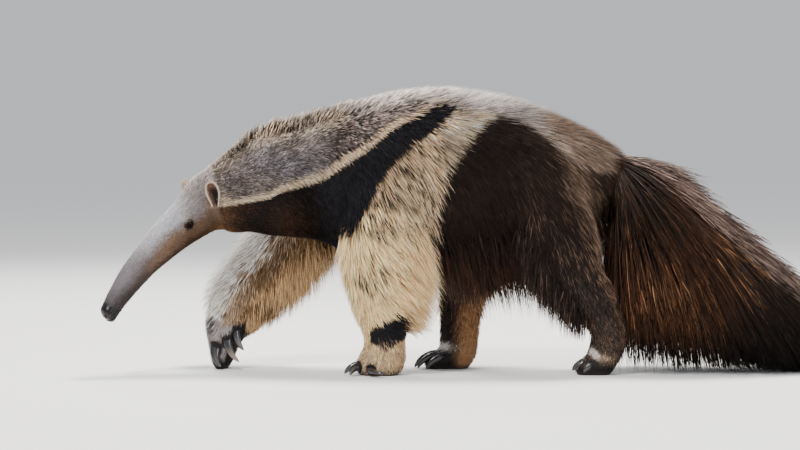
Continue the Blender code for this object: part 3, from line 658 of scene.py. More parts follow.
def shape_lids(co):
    rim = np.zeros(len(co))
    for side, (c, out, fwd, up) in EYE_AT.items():
        rel = co - c
        near = np.where((np.linalg.norm(rel, axis=1) < 0.026) & (rel @ out > -0.004))[0]
        q = rel[near]
        x, y, z = q @ fwd, q @ up, q @ out
        high = np.where(y > 0, LID_HIGH * 1.04, LID_HIGH * 0.92)
        e = np.sqrt((np.abs(x) / LID_LONG) ** 2.0 + (np.abs(y) / high) ** 2.0)
        r = EYE_RADIUS
        ball = np.sqrt(np.maximum((r + 0.0013) ** 2 - x * x - y * y, 0.0))
        lid = np.maximum(ball, 0.0)
        # outside the ball's own round the lid eases into the face
        w = 1 - smooth(1.25, 2.15, e)
        znew = mix(z, np.maximum(lid, z * 0 + 0.0), w * (e >= 1.0))
        # a raised rim, then a crease above and below it
        znew = znew + 0.0007 * np.exp(-((e - 1.16) / 0.11) ** 2)
        crease_up = np.exp(-((e - 1.72) / 0.13) ** 2) * (y > 0.0) * smooth(0.0, 0.004, y)
        crease_low = np.exp(-((e - 1.66) / 0.12) ** 2) * (y < 0.0) * smooth(0.0, 0.004, -y)
        znew = znew - 0.0011 * crease_up - 0.0008 * crease_low
        # brow fold, a soft roll over the upper lid
        znew = znew + 0.0011 * np.exp(-((e - 2.15) / 0.24) ** 2) * smooth(-0.001, 0.006, y)
        # inside the opening the skin dives behind the eyeball
        k = 1 - smooth(0.90, 1.02, e)
        znew = mix(znew, np.full(len(near), 0.0010), k)
        co[near] = c + np.outer(x, fwd) + np.outer(y, up) + np.outer(znew, out)
        rim[near] = np.maximum(rim[near], 1 - smooth(1.12, 1.62, e))
    return rim


# nose: rounded pad, comma-shaped nostrils, mouth slit
def shape_nose(co):
    near = np.where(np.linalg.norm(co - TIP, axis=1) < 0.040)[0]
    P = co[near]
    d, u, v = head_coords(P)
    push = np.zeros((len(P), 3))
    hole = np.zeros(len(P))
    front = np.array(HD)
    for sign in (1.0, -1.0):
        # opening in the front, with a slit that runs back along the side
        nu, nv = u - 0.0030, v * sign - 0.0082
        e = np.sqrt((nu / 0.0034) ** 2 + (nv / 0.0030) ** 2) + 0.9 * smooth(0.001, 0.010, d)
        pit = np.exp(-e ** 2.6)
        push -= np.outer(pit * 0.0062, front)
        slit = np.exp(-((u - 0.0036 + 0.25 * (d + 0.006)) / 0.0013) ** 2) * smooth(-0.010, -0.004, d) \
            * (1 - smooth(0.004, 0.012, d)) * (v * sign > 0.008)
        push -= np.outer(slit * 0.0022, HL * sign)
        ring = np.exp(-((e - 1.35) / 0.30) ** 2)
        push += np.outer(ring * 0.0007, front)
        hole = np.maximum(hole, np.maximum(pit, slit * 0.8))
    # groove between the nostrils
    push -= np.outer(0.0009 * np.exp(-(v / 0.0011) ** 2) * (d < 0.004), front)
    # mouth: a short slit under the tip that runs back on both sides
    line = -0.0088 - 0.0035 * smooth(-0.010, 0.010, d)
    mouth = np.exp(-((u - line) / 0.0012) ** 2) * (1 - smooth(0.014, 0.026, d))
    outward = unit(np.outer(v, HL) + np.outer(u, HU) * 0.3 + np.outer(np.where(d < 0, 0.012, 0.0), HD))
    push -= outward * (mouth * 0.0019)[:, None]
    lip = np.exp(-((u - line + 0.0030) / 0.0016) ** 2) * (1 - smooth(0.012, 0.024, d))
    push += outward * (lip * 0.0006)[:, None]
    co[near] = P + push
    shade = np.zeros(len(co))
    shade[near] = np.maximum(hole, mouth)
    return shade


co = coords(mesh)
lid_rim = shape_lids(co)
nose_pit_shade = shape_nose(co)
# wrinkles: fine rings round the snout, folds behind the cheek and at the throat
d, u, v = head_coords(co)
face = head_near(co)
nrm = normals_of(mesh)
rings = np.sin(d * 2 * np.pi / 0.0062 + 3.0 * noise(co, 0.012, 3)) * smooth(0.015, 0.04, d) * (1 - smooth(0.12, 0.20, d))
co[face] += nrm[face] * (rings[face] * 0.00010)[:, None]
co[face] += nrm[face] * ((noise(co[face], 0.009, 5) - 0.5) * 0.0007 * smooth(0.02, 0.08, d[face]))[:, None]
for k, (a, size) in enumerate(((0.262, 0.0045), (0.276, 0.0050), (0.291, 0.0060))):
    fold = np.exp(-((d - a - 0.010 * noise(co, 0.03, 20 + k)) / size) ** 2) * smooth(-0.02, 0.03, -u)
    co[face] -= nrm[face] * (fold[face] * 0.0012)[:, None]
# soles lie flat on the floor
co[:, 2] = np.where(co[:, 2] < 0.0012, 0.0, co[:, 2])
co[:, 2] = np.maximum(co[:, 2], 0.0)
set_coords(mesh, co)


# ------------------------------------------------------------------ markings
STRIPE_TOP = [(-0.383, 0.356), (-0.347, 0.361), (-0.281, 0.373), (-0.257, 0.385), (-0.213, 0.398), (-0.160, 0.413),
              (-0.132, 0.430), (-0.106, 0.449), (-0.073, 0.469), (-0.053, 0.488), (-0.021, 0.514), (0.004, 0.530),
              (0.040, 0.551), (0.071, 0.570), (0.097, 0.579), (0.120, 0.583)]
STRIPE_LOW = [(-0.150, 0.10), (-0.141, 0.275), (-0.131, 0.290), (-0.100, 0.300), (-0.076, 0.334), (-0.051, 0.391),
              (-0.021, 0.438), (0.002, 0.461), (0.025, 0.481), (0.068, 0.513), (0.098, 0.542), (0.122, 0.566)]
LINE_WIDTH = [(-0.383, 0.006), (-0.280, 0.009), (-0.216, 0.014), (-0.150, 0.018), (-0.090, 0.019),
              (-0.025, 0.014), (0.034, 0.008), (0.080, 0.004), (0.110, 0.0)]
REAR_EDGE = [(0.100, 0.073), (0.196, 0.068), (0.240, 0.074), (0.279, 0.081), (0.313, 0.082), (0.347, 0.085),
             (0.380, 0.092), (0.420, 0.100), (0.448, 0.112), (0.466, 0.128), (0.498, 0.149), (0.521, 0.170), (0.535, 0.183),
             (0.552, 0.215), (0.580, 0.240)]
DORSAL_LOW = [(0.060, 0.580), (0.097, 0.570), (0.148, 0.564), (0.197, 0.555), (0.216, 0.553), (0.268, 0.533),
              (0.306, 0.507), (0.346, 0.470), (0.380, 0.445), (0.430, 0.430)]

# each look: main hair, second hair, share of second, tip, how far the tip's tone goes down
LOOKS = {
    "grizzle":     ((79, 66, 61), (21, 16, 15), 0.47, (159, 145, 138), 0.42),
    "cool_highlight":        ((84, 76, 78), (25, 21, 22), 0.42, (162, 156, 162), 0.44),
    "warm_tan_and_sunlit":        ((200, 170, 142), (112, 86, 68), 0.28, (244, 226, 206), 0.60),
    "mane":        ((78, 64, 54), (26, 20, 17), 0.46, (182, 166, 152), 0.40),
    "pale":        ((192, 172, 162), (74, 57, 49), 0.38, (248, 240, 235), 0.56),
    "dorsal":      ((142, 121, 111), (52, 40, 35), 0.40, (214, 200, 194), 0.55),
    "line":        ((204, 174, 140), (140, 112, 86), 0.26, (238, 216, 188), 0.60),
    "black":       ((25, 24, 27), (17, 16, 18), 0.35, (50, 48, 55), 0.40),
    "throat":      ((9, 6, 5), (22, 14, 11), 0.30, (23, 15, 12), 0.40),
    "throat_brown":((52, 32, 21), (20, 12, 9), 0.42, (74, 47, 31), 0.50),
    "jaw":         ((88, 62, 40), (46, 31, 21), 0.40, (112, 82, 56), 0.50),
    "band":        ((170, 138, 106), (27, 20, 16), 0.40, (234, 210, 178), 0.55),
    "cream":       ((252, 212, 156), (188, 144, 98), 0.12, (255, 233, 190), 0.65),
    "cream_dark":  ((132, 110, 90), (36, 28, 24), 0.55, (196, 172, 144), 0.50),
    "gold":        ((226, 182, 130), (176, 130, 86), 0.20, (246, 212, 162), 0.60),
    "cream_far":   ((196, 160, 116), (160, 124, 86), 0.22, (222, 192, 148), 0.60),
    "white":       ((255, 250, 243), (220, 206, 190), 0.12, (255, 254, 250), 0.70),
    "beige":       ((172, 146, 120), (104, 82, 64), 0.30, (214, 192, 164), 0.55),
    "shade_tan":   ((106, 80, 57), (74, 54, 38), 0.34, (140, 110, 80), 0.50),
    "hand_grey":   ((150, 141, 142), (66, 58, 58), 0.36, (212, 207, 212), 0.50),
    "flank":       ((24, 18, 17), (62, 49, 42), 0.16, (42, 33, 30), 0.35),
    "belly":       ((38, 23, 16), (17, 11, 9), 0.40, (78, 49, 33), 0.50),
    "thigh":       ((29, 21, 18), (102, 80, 67), 0.20, (50, 38, 32), 0.35),
    "sheen_tan":   ((98, 75, 60), (32, 23, 19), 0.38, (176, 148, 126), 0.52),
    "shank_tan":   ((150, 106, 68), (92, 60, 38), 0.32, (206, 160, 114), 0.50),
    "tail":        ((34, 21, 15), (11, 7, 6), 0.46, (88, 58, 41), 0.42),
    "tail_red":    ((92, 55, 34), (28, 17, 11), 0.42, (152, 102, 68), 0.50),
    "tail_lit":    ((124, 84, 55), (50, 32, 22), 0.46, (190, 146, 106), 0.50),
    "tail_black":  ((17, 12, 11), (11, 8, 7), 0.40, (42, 30, 25), 0.30),
    "tail_top_sheen":    ((84, 64, 55), (28, 20, 17), 0.44, (176, 150, 138), 0.45),
    "face_top_grey_and_lit":    ((141, 140, 146), (112, 108, 110), 0.28, (182, 182, 190), 0.55),
    "face_side":   ((90, 69, 54), (69, 52, 40), 0.32, (115, 92, 76), 0.55),
    "face_warm":   ((118, 92, 72), (94, 71, 54), 0.30, (142, 116, 96), 0.55),
    "face_low_brown_and_shaded":    ((52, 34, 20), (30, 19, 12), 0.35, (72, 50, 33), 0.50),
    "snout":       ((38, 33, 33), (24, 21, 21), 0.35, (54, 48, 47), 0.50),
    "snout_side":  ((57, 49, 47), (44, 37, 35), 0.32, (72, 63, 60), 0.50),
    "snout_top_grey_and_lit":   ((99, 94, 98), (78, 73, 76), 0.30, (127, 121, 127), 0.50),
    "nose":        ((14, 13, 16), (11, 10, 13), 0.30, (18, 17, 20), 0.50),
    "pad":         ((26, 22, 22), (18, 15, 15), 0.30, (38, 32, 31), 0.50),
}
NAMES = list(LOOKS)
MAIN = np.array([linear(LOOKS[n][0]) for n in NAMES])
SECOND = np.array([linear(LOOKS[n][1]) for n in NAMES])
SHARE = np.array([LOOKS[n][2] for n in NAMES])
TIPC = np.array([linear(LOOKS[n][3]) for n in NAMES])
TIPK = np.array([LOOKS[n][4] for n in NAMES])


def places(P):
    """Every chart's reading of these points, and how much each part owns them."""
    info = {k: c.place(P) for k, c in CHARTS.items()}
    q = np.stack([info[k][3] for k in PARTS], 1)
    # legs win on their own side and below the trunk
    own = np.exp(-7.0 * q)
    x, y, z = P.T
    for k in LEGS:
        j = PARTS.index(k)
        right_side = (y < 0.012) if k.endswith("left") else (y > -0.012)
        own[:, j] *= right_side
        top = {"foreleg_left": 0.345, "foreleg_right": 0.325, "hindleg_left": 0.365, "hindleg_right": 0.330}[k]
        own[:, j] *= 1 - smooth(top - 0.03, top + 0.02, z)
        own[:, j] *= 1.0 + 3.0 * (1 - smooth(0.15, 0.25, z))
    own[:, 1] *= 1 - smooth(-0.40, -0.36, x)
    own[:, 2] *= smooth(0.40, 0.46, x)
    own[:, 0] *= 1 - smooth(0.44, 0.50, x)
    own[:, 0] *= smooth(0.10, 0.20, z)
    own /= own.sum(1, keepdims=True) + 1e-12
    return info, own


def markings(P, jitter=None, only=None):
    """Shares of each look at these points; jitter moves the borders a little, hair by hair."""
    n = len(P)
    info, own = places(P)
    if only:
        own[:] = 0.0
        own[:, PARTS.index(only)] = 1.0
    w = np.zeros((n, len(NAMES)))
    w[:, NAMES.index("grizzle")] = 1.0
    x, y, z = P.T
    if jitter is not None:
        x = x + jitter[:, 0]
        z = z + jitter[:, 1]
    soft = 0.0035

    def over(look, m):
        m = np.clip(m, 0, 1)
        w[:] = w * (1 - m)[:, None]
        w[:, NAMES.index(look)] += m

    def above(table, soft=soft, shift=0.0):
        edge = lerp_table(x, table) + shift
        return smooth(-soft, soft, z - edge)

    slow = noise(P, 0.060, 11)
    # neck and back
    # painted cool highlight on the middle of the neck, with faint patches of it elsewhere
    over("cool_highlight", 0.85 * np.exp(-(((x + 0.245) / 0.075) ** 2 + ((z - 0.448) / 0.030) ** 2)) + 0.25 * smooth(0.5, 0.8, slow))
    over("warm_tan_and_sunlit", 0.95 * np.exp(-((z - (0.507 + 0.20 * (x + 0.30))) / 0.016) ** 2) * smooth(-0.36, -0.30, x) * (1 - smooth(-0.16, -0.08, x)))
    crest = lerp_table(x, [(-0.40, 0.425), (-0.36, 0.448), (-0.313, 0.487), (-0.271, 0.512), (-0.205, 0.526),
                           (-0.151, 0.545), (-0.072, 0.568), (0.027, 0.588), (0.107, 0.588), (0.30, 0.56)])
    over("mane", smooth(-0.016, 0.0, z - crest) * (1 - smooth(-0.22, -0.08, x)))
    # painted warm sunlit highlight on the mane hairs behind the head
    over("warm_tan_and_sunlit", 0.85 * np.exp(-(((x + 0.288) / 0.032) ** 2 + ((z - 0.504 - 0.5 * (x + 0.288)) / 0.013) ** 2)))
    over("pale", smooth(-0.022, -0.008, z - crest) * smooth(-0.16, -0.03, x))
    over("dorsal", smooth(-0.14, -0.03, x) * smooth(-0.085, -0.030, z - crest) * (1 - smooth(-0.020, -0.006, z - crest)) * 0.85)
    # everything under the stripe's upper border is the cream band, up to the dark hind body
    below_top = 1 - above(STRIPE_TOP)
    ahead_of_end = 1 - smooth(0.112, 0.120, x)
    behind = smooth(-soft * 1.4, soft * 1.4, x - lerp_table(z, REAR_EDGE))
    under_back = 1 - above(DORSAL_LOW, 0.005)
    over("band", np.where(x < 0.10, below_top, under_back))
    over("cream", 0.34 * np.where(x < 0.10, below_top, under_back) * smooth(0.46, 0.54, z))
    over("pale", 0.30 * np.where(x < 0.10, below_top, under_back) * smooth(0.46, 0.54, z))
    stripe = below_top * above(STRIPE_LOW) * ahead_of_end
    over("black", stripe)
    over("black", (x < -0.13) * below_top)
    # brown cast on the throat, from the jaw's tan to black at the chest
    # the throat's black is painted darker still, as shade under the neck
    over("throat", (x < -0.10) * below_top * (1 - smooth(-0.20, -0.13, x + 0.25 * (z - 0.35))) * 0.9)
    over("throat_brown", 0.9 * below_top * np.exp(-(((x + 0.236) / 0.042) ** 2 + ((z - 0.322) / 0.036) ** 2)))
    mottle = 0.030 * (noise(P, 0.014, 12) - 0.5)
    over("throat_brown", 0.55 * below_top * (1 - smooth(-0.335, -0.290, x + mottle * 1.5)))
    over("jaw", below_top * (1 - smooth(-0.372, -0.328, x + 1.2 * mottle)))
    width = lerp_table(x, LINE_WIDTH)
    edge = lerp_table(x, STRIPE_TOP)
    over("line", smooth(-0.003, 0.003, z - edge) * (1 - smooth(width * 0.55, width + 0.011, z - edge)) * (x < 0.11) * (x > -0.40))
    over("line", 0.85 * np.exp(-(((x + 0.372) / 0.009) ** 2 + ((z - 0.374) / 0.012) ** 2)))
    # dark hind body
    dark = behind * under_back
    over("flank", dark)
    over("thigh", dark * smooth(0.20, 0.30, x) * 0.85)
    # painted shade: the belly's brown is made much darker, as shade under the body
    over("belly", dark * (1 - smooth(0.235, 0.300, z)) * (1 - smooth(0.26, 0.32, x)))
    # back and rump: pale at the top, grizzled further back and tan on the tail's root
    top = above(DORSAL_LOW, 0.006) * smooth(0.055, 0.10, x)
    over("dorsal", top)
    over("pale", top * smooth(0.006, 0.022, z - lerp_table(x, DORSAL_LOW)) * (1 - smooth(0.17, 0.27, x)) * 0.85)
    over("sheen_tan", top * smooth(0.27, 0.34, x) * 0.9)
    over("warm_tan_and_sunlit", 0.55 * smooth(0.012, 0.002, np.abs(z - lerp_table(x, DORSAL_LOW) - 0.014)) * smooth(0.28, 0.31, x) * (1 - smooth(0.35, 0.38, x)))
    # grizzled sheen down the back of the thigh
    over("sheen_tan", dark * 0.75 * np.exp(-((x - (0.385 - 0.22 * (z - 0.40))) / 0.030) ** 2) * smooth(0.24, 0.33, z) * (1 - smooth(0.44, 0.48, z)))

    # legs
    for k in LEGS:
        j = PARTS.index(k)
        s, a, b, q = info[k]
        m = own[:, j]
        m = smooth(0.30, 0.62, m)
        fore = -a            # -1 at the front edge, +1 at the rear
        if k == "foreleg_left":
            over("cream", m)
            over("gold", m * smooth(0.25, 0.9, fore) * 0.75)
            over("cream_dark", m * np.exp(-(((x + 0.040) / 0.040) ** 2 + ((z - 0.245) / 0.055) ** 2)) * smooth(0.46, 0.66, noise(P, (0.012, 0.03, 0.022), 31)) * 0.80)
            over("cream_dark", m * np.exp(-(((x + 0.075) / 0.022) ** 2 + ((z - 0.185) / 0.035) ** 2)) * smooth(0.42, 0.65, noise(P, (0.010, 0.03, 0.022), 32)) * 0.9)
            over("band", m * smooth(0.27, 0.31, z) * 0.65)
            band_top = 0.100 + 0.46 * (x + 0.060)
            band_low = 0.058 + 0.50 * np.abs(x + 0.024) - 0.006 * (x < -0.024)
            over("black", m * smooth(-0.003, 0.003, band_top - z) * smooth(-0.003, 0.003, z - band_low)
                 * smooth(-0.068, -0.060, x) * (1 - smooth(0.012, 0.018, x)))
            over("cream_dark", m * (1 - smooth(0.006, 0.020, z)) * 0.6)
            over("beige", m * (1 - smooth(0.045, 0.085, z)) * 0.55)
            over("hand_grey", 0.35 * m * (1 - smooth(0.020, 0.050, z)) * (1 - smooth(-0.08, -0.05, x)))
        elif k == "foreleg_right":
            # painted light on the far foreleg: the white front is partly pale fur and partly painted sunlight, and
            # shade_tan with the beige beside it is painted shade across the middle and high on the rear under the chest
            over("shade_tan", m)
            over("cream_far", m * smooth(0.05, 0.60, fore) * (1 - 0.75 * smooth(0.20, 0.30, z)))
            over("cream_far", 0.8 * m * (1 - smooth(0.14, 0.22, z)) * smooth(-0.1, 0.5, fore))
            over("beige", m * (1 - smooth(-0.35, 0.50, fore + 0.5 * (noise(P, 0.03, 37) - 0.5))) * 0.75)
            over("shade_tan", 0.60 * m * np.exp(-(((x + 0.292 - 0.25 * (z - 0.21)) / 0.036) ** 2 + ((z - 0.215) / 0.070) ** 2)))
            over("white", m * (1 - smooth(-1.00, -0.05, fore + 0.45 * (noise(P, 0.025, 33) - 0.5))))
            over("white", 0.8 * m * smooth(0.285, 0.310, z) * (1 - smooth(-0.3, 0.3, fore)))
            over("hand_grey", m * (1 - smooth(0.085, 0.115, z + 0.02 * (noise(P, 0.02, 35) - 0.5))) * (1 - smooth(-0.345, -0.325, x)))
            over("black", m * np.exp(-(((x + 0.408) / 0.010) ** 2 + ((z - 0.098) / 0.012) ** 2)) * 0.75)
            over("cream_dark", 0.6 * m * (1 - smooth(0.07, 0.09, z)) * smooth(0.55, 0.75, noise(P, (0.012, 0.02, 0.012), 36)))
            over("pad", m * (1 - smooth(0.094, 0.106, z)) * smooth(0.15, 0.45, fore) * (1 - smooth(-0.338, -0.328, x)))
            over("pad", m * (1 - smooth(0.016, 0.034, z + 0.55 * (x + 0.395))))
            over("shade_tan", m * np.exp(-((z - 0.124) / 0.014) ** 2) * smooth(0.0, 0.4, fore) * 0.8)
        elif k == "hindleg_left":
            over("thigh", m)
            over("flank", m * 0.5 * smooth(0.4, 0.6, noise(P, 0.05, 34)))
            over("sheen_tan", m * smooth(0.50, 0.98, fore) * smooth(0.04, 0.08, z) * 0.75)
            over("sheen_tan", m * (1 - smooth(0.06, 0.13, z)) * 0.22)
            over("beige", 0.75 * m * np.exp(-(((x - 0.430) / 0.020) ** 2 + ((z - 0.037 + 0.12 * (x - 0.43)) / 0.008) ** 2)))
            over("white", 0.66 * m * smooth(0.25, 0.95, np.exp(-(((x - 0.409 + 0.5 * (z - 0.05)) / 0.013) ** 2 + ((z - 0.047) / 0.016) ** 2))))
            over("pad", m * (1 - smooth(0.012, 0.026, z)))
        else:
            over("thigh", m)
            over("shank_tan", m * (1 - smooth(0.19, 0.27, z)))
            over("thigh", 0.8 * m * (1 - smooth(-0.30, 0.25, fore)))
            over("flank", m * (1 - smooth(-0.55, -0.25, fore)))
            over("flank", m * smooth(0.20, 0.27, z) * 0.85)
            over("white", m * np.exp(-(((x - 0.092) / 0.020) ** 2 + ((z - 0.048) / 0.008) ** 2)) * 0.85)
            over("pad", m * (1 - smooth(0.012, 0.026, z)) * (1 - smooth(0.10, 0.13, x)))
    chest = above(STRIPE_LOW) * below_top * (1 - smooth(-0.075, -0.060, x)) * smooth(0.25, 0.27, z)
    over("black", chest * (y < 0.0) * (x > -0.150))
    # tail
    m = smooth(0.35, 0.65, own[:, PARTS.index("tail")])
    s, a, b, q = info["tail"]
    over("tail", m)
    streak = noise(np.stack([x + 0.6 * z, y * 0.5, z * 0.15], 1), 0.010, 41)
    over("tail_red", 0.85 * m * np.exp(-(((x - 0.575) / 0.100) ** 2 + ((z - 0.170) / 0.070) ** 2)) * smooth(0.20, 0.60, streak))
    over("tail_lit", 0.45 * m * np.exp(-(((x - 0.575) / 0.060) ** 2 + ((z - 0.185) / 0.030) ** 2)) * smooth(0.45, 0.70, streak))
    over("tail_lit", 0.60 * m * np.exp(-(((x - 0.700) / 0.040) ** 2 + ((z - 0.255) / 0.028) ** 2)) * smooth(0.35, 0.65, streak))
    over("tail_black", 0.9 * m * smooth(-0.02, 0.06, x - 0.60 - 0.55 * z))
    over("tail_black", 0.8 * m * (1 - smooth(0.040, 0.085, z)))
    # painted sheen along the top of the tail
    over("tail_top_sheen", m * smooth(0.80, 1.02, a) * (1 - smooth(0.90, 1.10, x)) * 0.75)
    # head
    d, u, v = head_coords(P)
    m = smooth(0.45, 0.60, own[:, PARTS.index("head")])
    hs, ha, hb, hq = info["head"]
    edge_noise = 0.22 * (noise(P, 0.016, 51) - 0.5)
    over("face_side", m)
    # painted light on the head: the grey top of the face and snout is made lighter as a painted highlight from above,
    # and the brown underside is made darker as painted shade
    over("face_top_grey_and_lit", m * smooth(-0.16, 0.84, ha + edge_noise * 1.3) * mix(1.0, 0.85, 1 - smooth(0.10, 0.22, d)))
    front = 1 - smooth(0.070, 0.205, d + 0.03 * ha)
    over("snout_side", m * front)
    over("snout_top_grey_and_lit", m * front * smooth(-0.45, 0.75, ha + edge_noise * 1.3))
    over("face_low_brown_and_shaded", m * smooth(0.30, 0.90, -ha + edge_noise) * (0.55 + 0.45 * smooth(0.10, 0.20, d)))
    over("face_warm", 0.50 * m * np.exp(-(((d - 0.165) / 0.045) ** 2 + ((ha + 0.30) / 0.32) ** 2)))
    over("face_warm", 0.66 * m * np.exp(-(((d - 0.208) / 0.040) ** 2 + ((ha - 0.02) / 0.28) ** 2)))
    # painted grey shadow on the temple, a painted highlight on the brow and a dark cheek
    over("grizzle", 0.60 * m * np.exp(-(((d - 0.270) / 0.028) ** 2 + ((ha - 0.44) / 0.30) ** 2)))
    over("face_top_grey_and_lit", 0.75 * m * np.exp(-(((d - 0.232) / 0.020) ** 2 + ((ha - 0.52) / 0.10) ** 2)))
    over("jaw", 0.36 * m * np.exp(-(((d - 0.250) / 0.030) ** 2 + ((ha + 0.42) / 0.24) ** 2)))
    over("grizzle", m * smooth(0.245, 0.310, d) * smooth(0.20, 0.60, ha) * 0.7)
    over("snout", m * (1 - smooth(0.010, 0.095, d + 0.02 * ha)) * 0.85)
    over("nose", m * (1 - smooth(0.006, 0.022, d + 0.006 * ha)))
    # ear's foot: a pale fold under it, dark hollow behind it
    over("line", 0.60 * m * np.exp(-(((x + 0.392) / 0.008) ** 2 + ((z - 0.372) / 0.014) ** 2)))
    over("face_warm", 0.70 * m * np.exp(-(((x + 0.405) / 0.010) ** 2 + ((z - 0.366) / 0.016) ** 2)))
    # brown skin behind the jaw
    over("jaw", m * smooth(0.255, 0.300, d) * smooth(0.30, 0.70, -ha))
    # dark skin round each claw
    over("pad", 1 - smooth(0.0015, 0.0050, claw_gap(P, roots=True)))
    return w, info, own


def blend_of(w, tips=0.35):
    base = w @ (MAIN * (1 - SHARE[:, None]) + SECOND * SHARE[:, None])
    return base * (1 - tips) + (w @ TIPC) * tips


# ------------------------------------------------------------------ the skin's tones
co = coords(mesh)
nrm = normals_of(mesh)
w, info, own = markings(co)
own_head = own[:, PARTS.index("head")]
tone = blend_of(w, 0.25)
fleck = noise(co, 0.0016, 61) * 0.5 + noise(co, 0.0040, 62) * 0.3 + noise(co, 0.012, 63) * 0.2
short = smooth(0.4, 0.7, own_head)
# the skin under the coat takes the hair's tones at 0.62 as painted shade deep in the coat; the short-haired head keeps
# them full
tone = tone * (0.72 + 0.56 * fleck)[:, None] * mix(0.62, 1.0, short)[:, None]
d, u, v = head_coords(co)
bare_nose = short * (1 - smooth(0.006, 0.016, d + 0.004 * info["head"][1]))
tone = mix(tone, linear((14, 13, 16)) * (0.8 + 0.5 * fleck)[:, None], bare_nose)
front_pad = bare_nose * np.exp(-((u - 0.002) / 0.007) ** 2) * (d < -0.006)
tone = mix(tone, linear((58, 46, 40)), front_pad * 0.35)
# painted shade darkens the nostrils and the mouth slit
tone = mix(tone, linear((7, 6, 7)), np.clip(nose_pit_shade, 0, 1) * 0.9)
tone = mix(tone, linear((17, 13, 12)), np.clip(lid_rim, 0, 1) * 0.95)
for side, (c, out, fwd, up) in EYE_AT.items():
    q = co - c
    e = np.sqrt((q @ fwd / LID_LONG) ** 2 + (q @ up / LID_HIGH) ** 2)
    near = (q @ out > -0.002) & (np.linalg.norm(q, axis=1) < 0.03)
    tone = mix(tone, linear((17, 11, 9)), near * (1 - smooth(1.32, 1.95, e)) * (e > 0.95) * 0.93)
    tone = mix(tone, linear((150, 122, 98)), near * np.exp(-((e - 2.75) / 0.35) ** 2) * (q @ up < 0.004) * 0.45)
    tear = near * np.exp(-(((q @ fwd - 0.0125) / 0.006) ** 2 + ((q @ up + 0.002) / 0.003) ** 2))
    tone = mix(tone, linear((44, 30, 23)), tear * 0.85)
sole = (1 - smooth(0.004, 0.012, co[:, 2]))
tone = mix(tone, linear((40, 33, 30)), sole * 0.85)
gloss = np.clip(np.maximum(bare_nose, lid_rim * 0.45), 0, 1)
fuzz = (1 - gloss) * (1 - 0.5 * sole)


def paint(mesh, tone, gloss=None, fuzz=None):
    layer = mesh.color_attributes.new("tone", 'FLOAT_COLOR', 'POINT')
    rgba = np.ones((len(tone), 4), np.float32)
    rgba[:, :3] = np.clip(tone, 0, 1)
    layer.data.foreach_set("color", rgba.ravel())
    for name, values in (("gloss", gloss), ("fuzz", fuzz)):
        if values is not None:
            attr = mesh.attributes.new(name, 'FLOAT', 'POINT')
            attr.data.foreach_set("value", np.asarray(values, np.float32))


paint(mesh, tone, gloss, fuzz)
mesh.shade_smooth()
skin_tree = BVHTree.FromPolygons([tuple(p) for p in co], [tuple(p.vertices) for p in mesh.polygons])


# ------------------------------------------------------------------ materials
def principled(name, rough, specular=0.5, sheen=0.0, coat=0.0, coat_rough=0.1):
    mat = bpy.data.materials.new(name)
    mat.use_nodes = True
    bsdf = mat.node_tree.nodes["Principled BSDF"]
    bsdf.inputs["Roughness"].default_value = rough
    bsdf.inputs["Specular IOR Level"].default_value = specular
    bsdf.inputs["Sheen Weight"].default_value = sheen
    bsdf.inputs["Coat Weight"].default_value = coat
    bsdf.inputs["Coat Roughness"].default_value = coat_rough
    return mat, mat.node_tree, bsdf


def node(tree, kind, **values):
    n = tree.nodes.new(kind)
    for k, v in values.items():
        if k in n.inputs:
            n.inputs[k].default_value = v
        else:
            setattr(n, k, v)
    return n


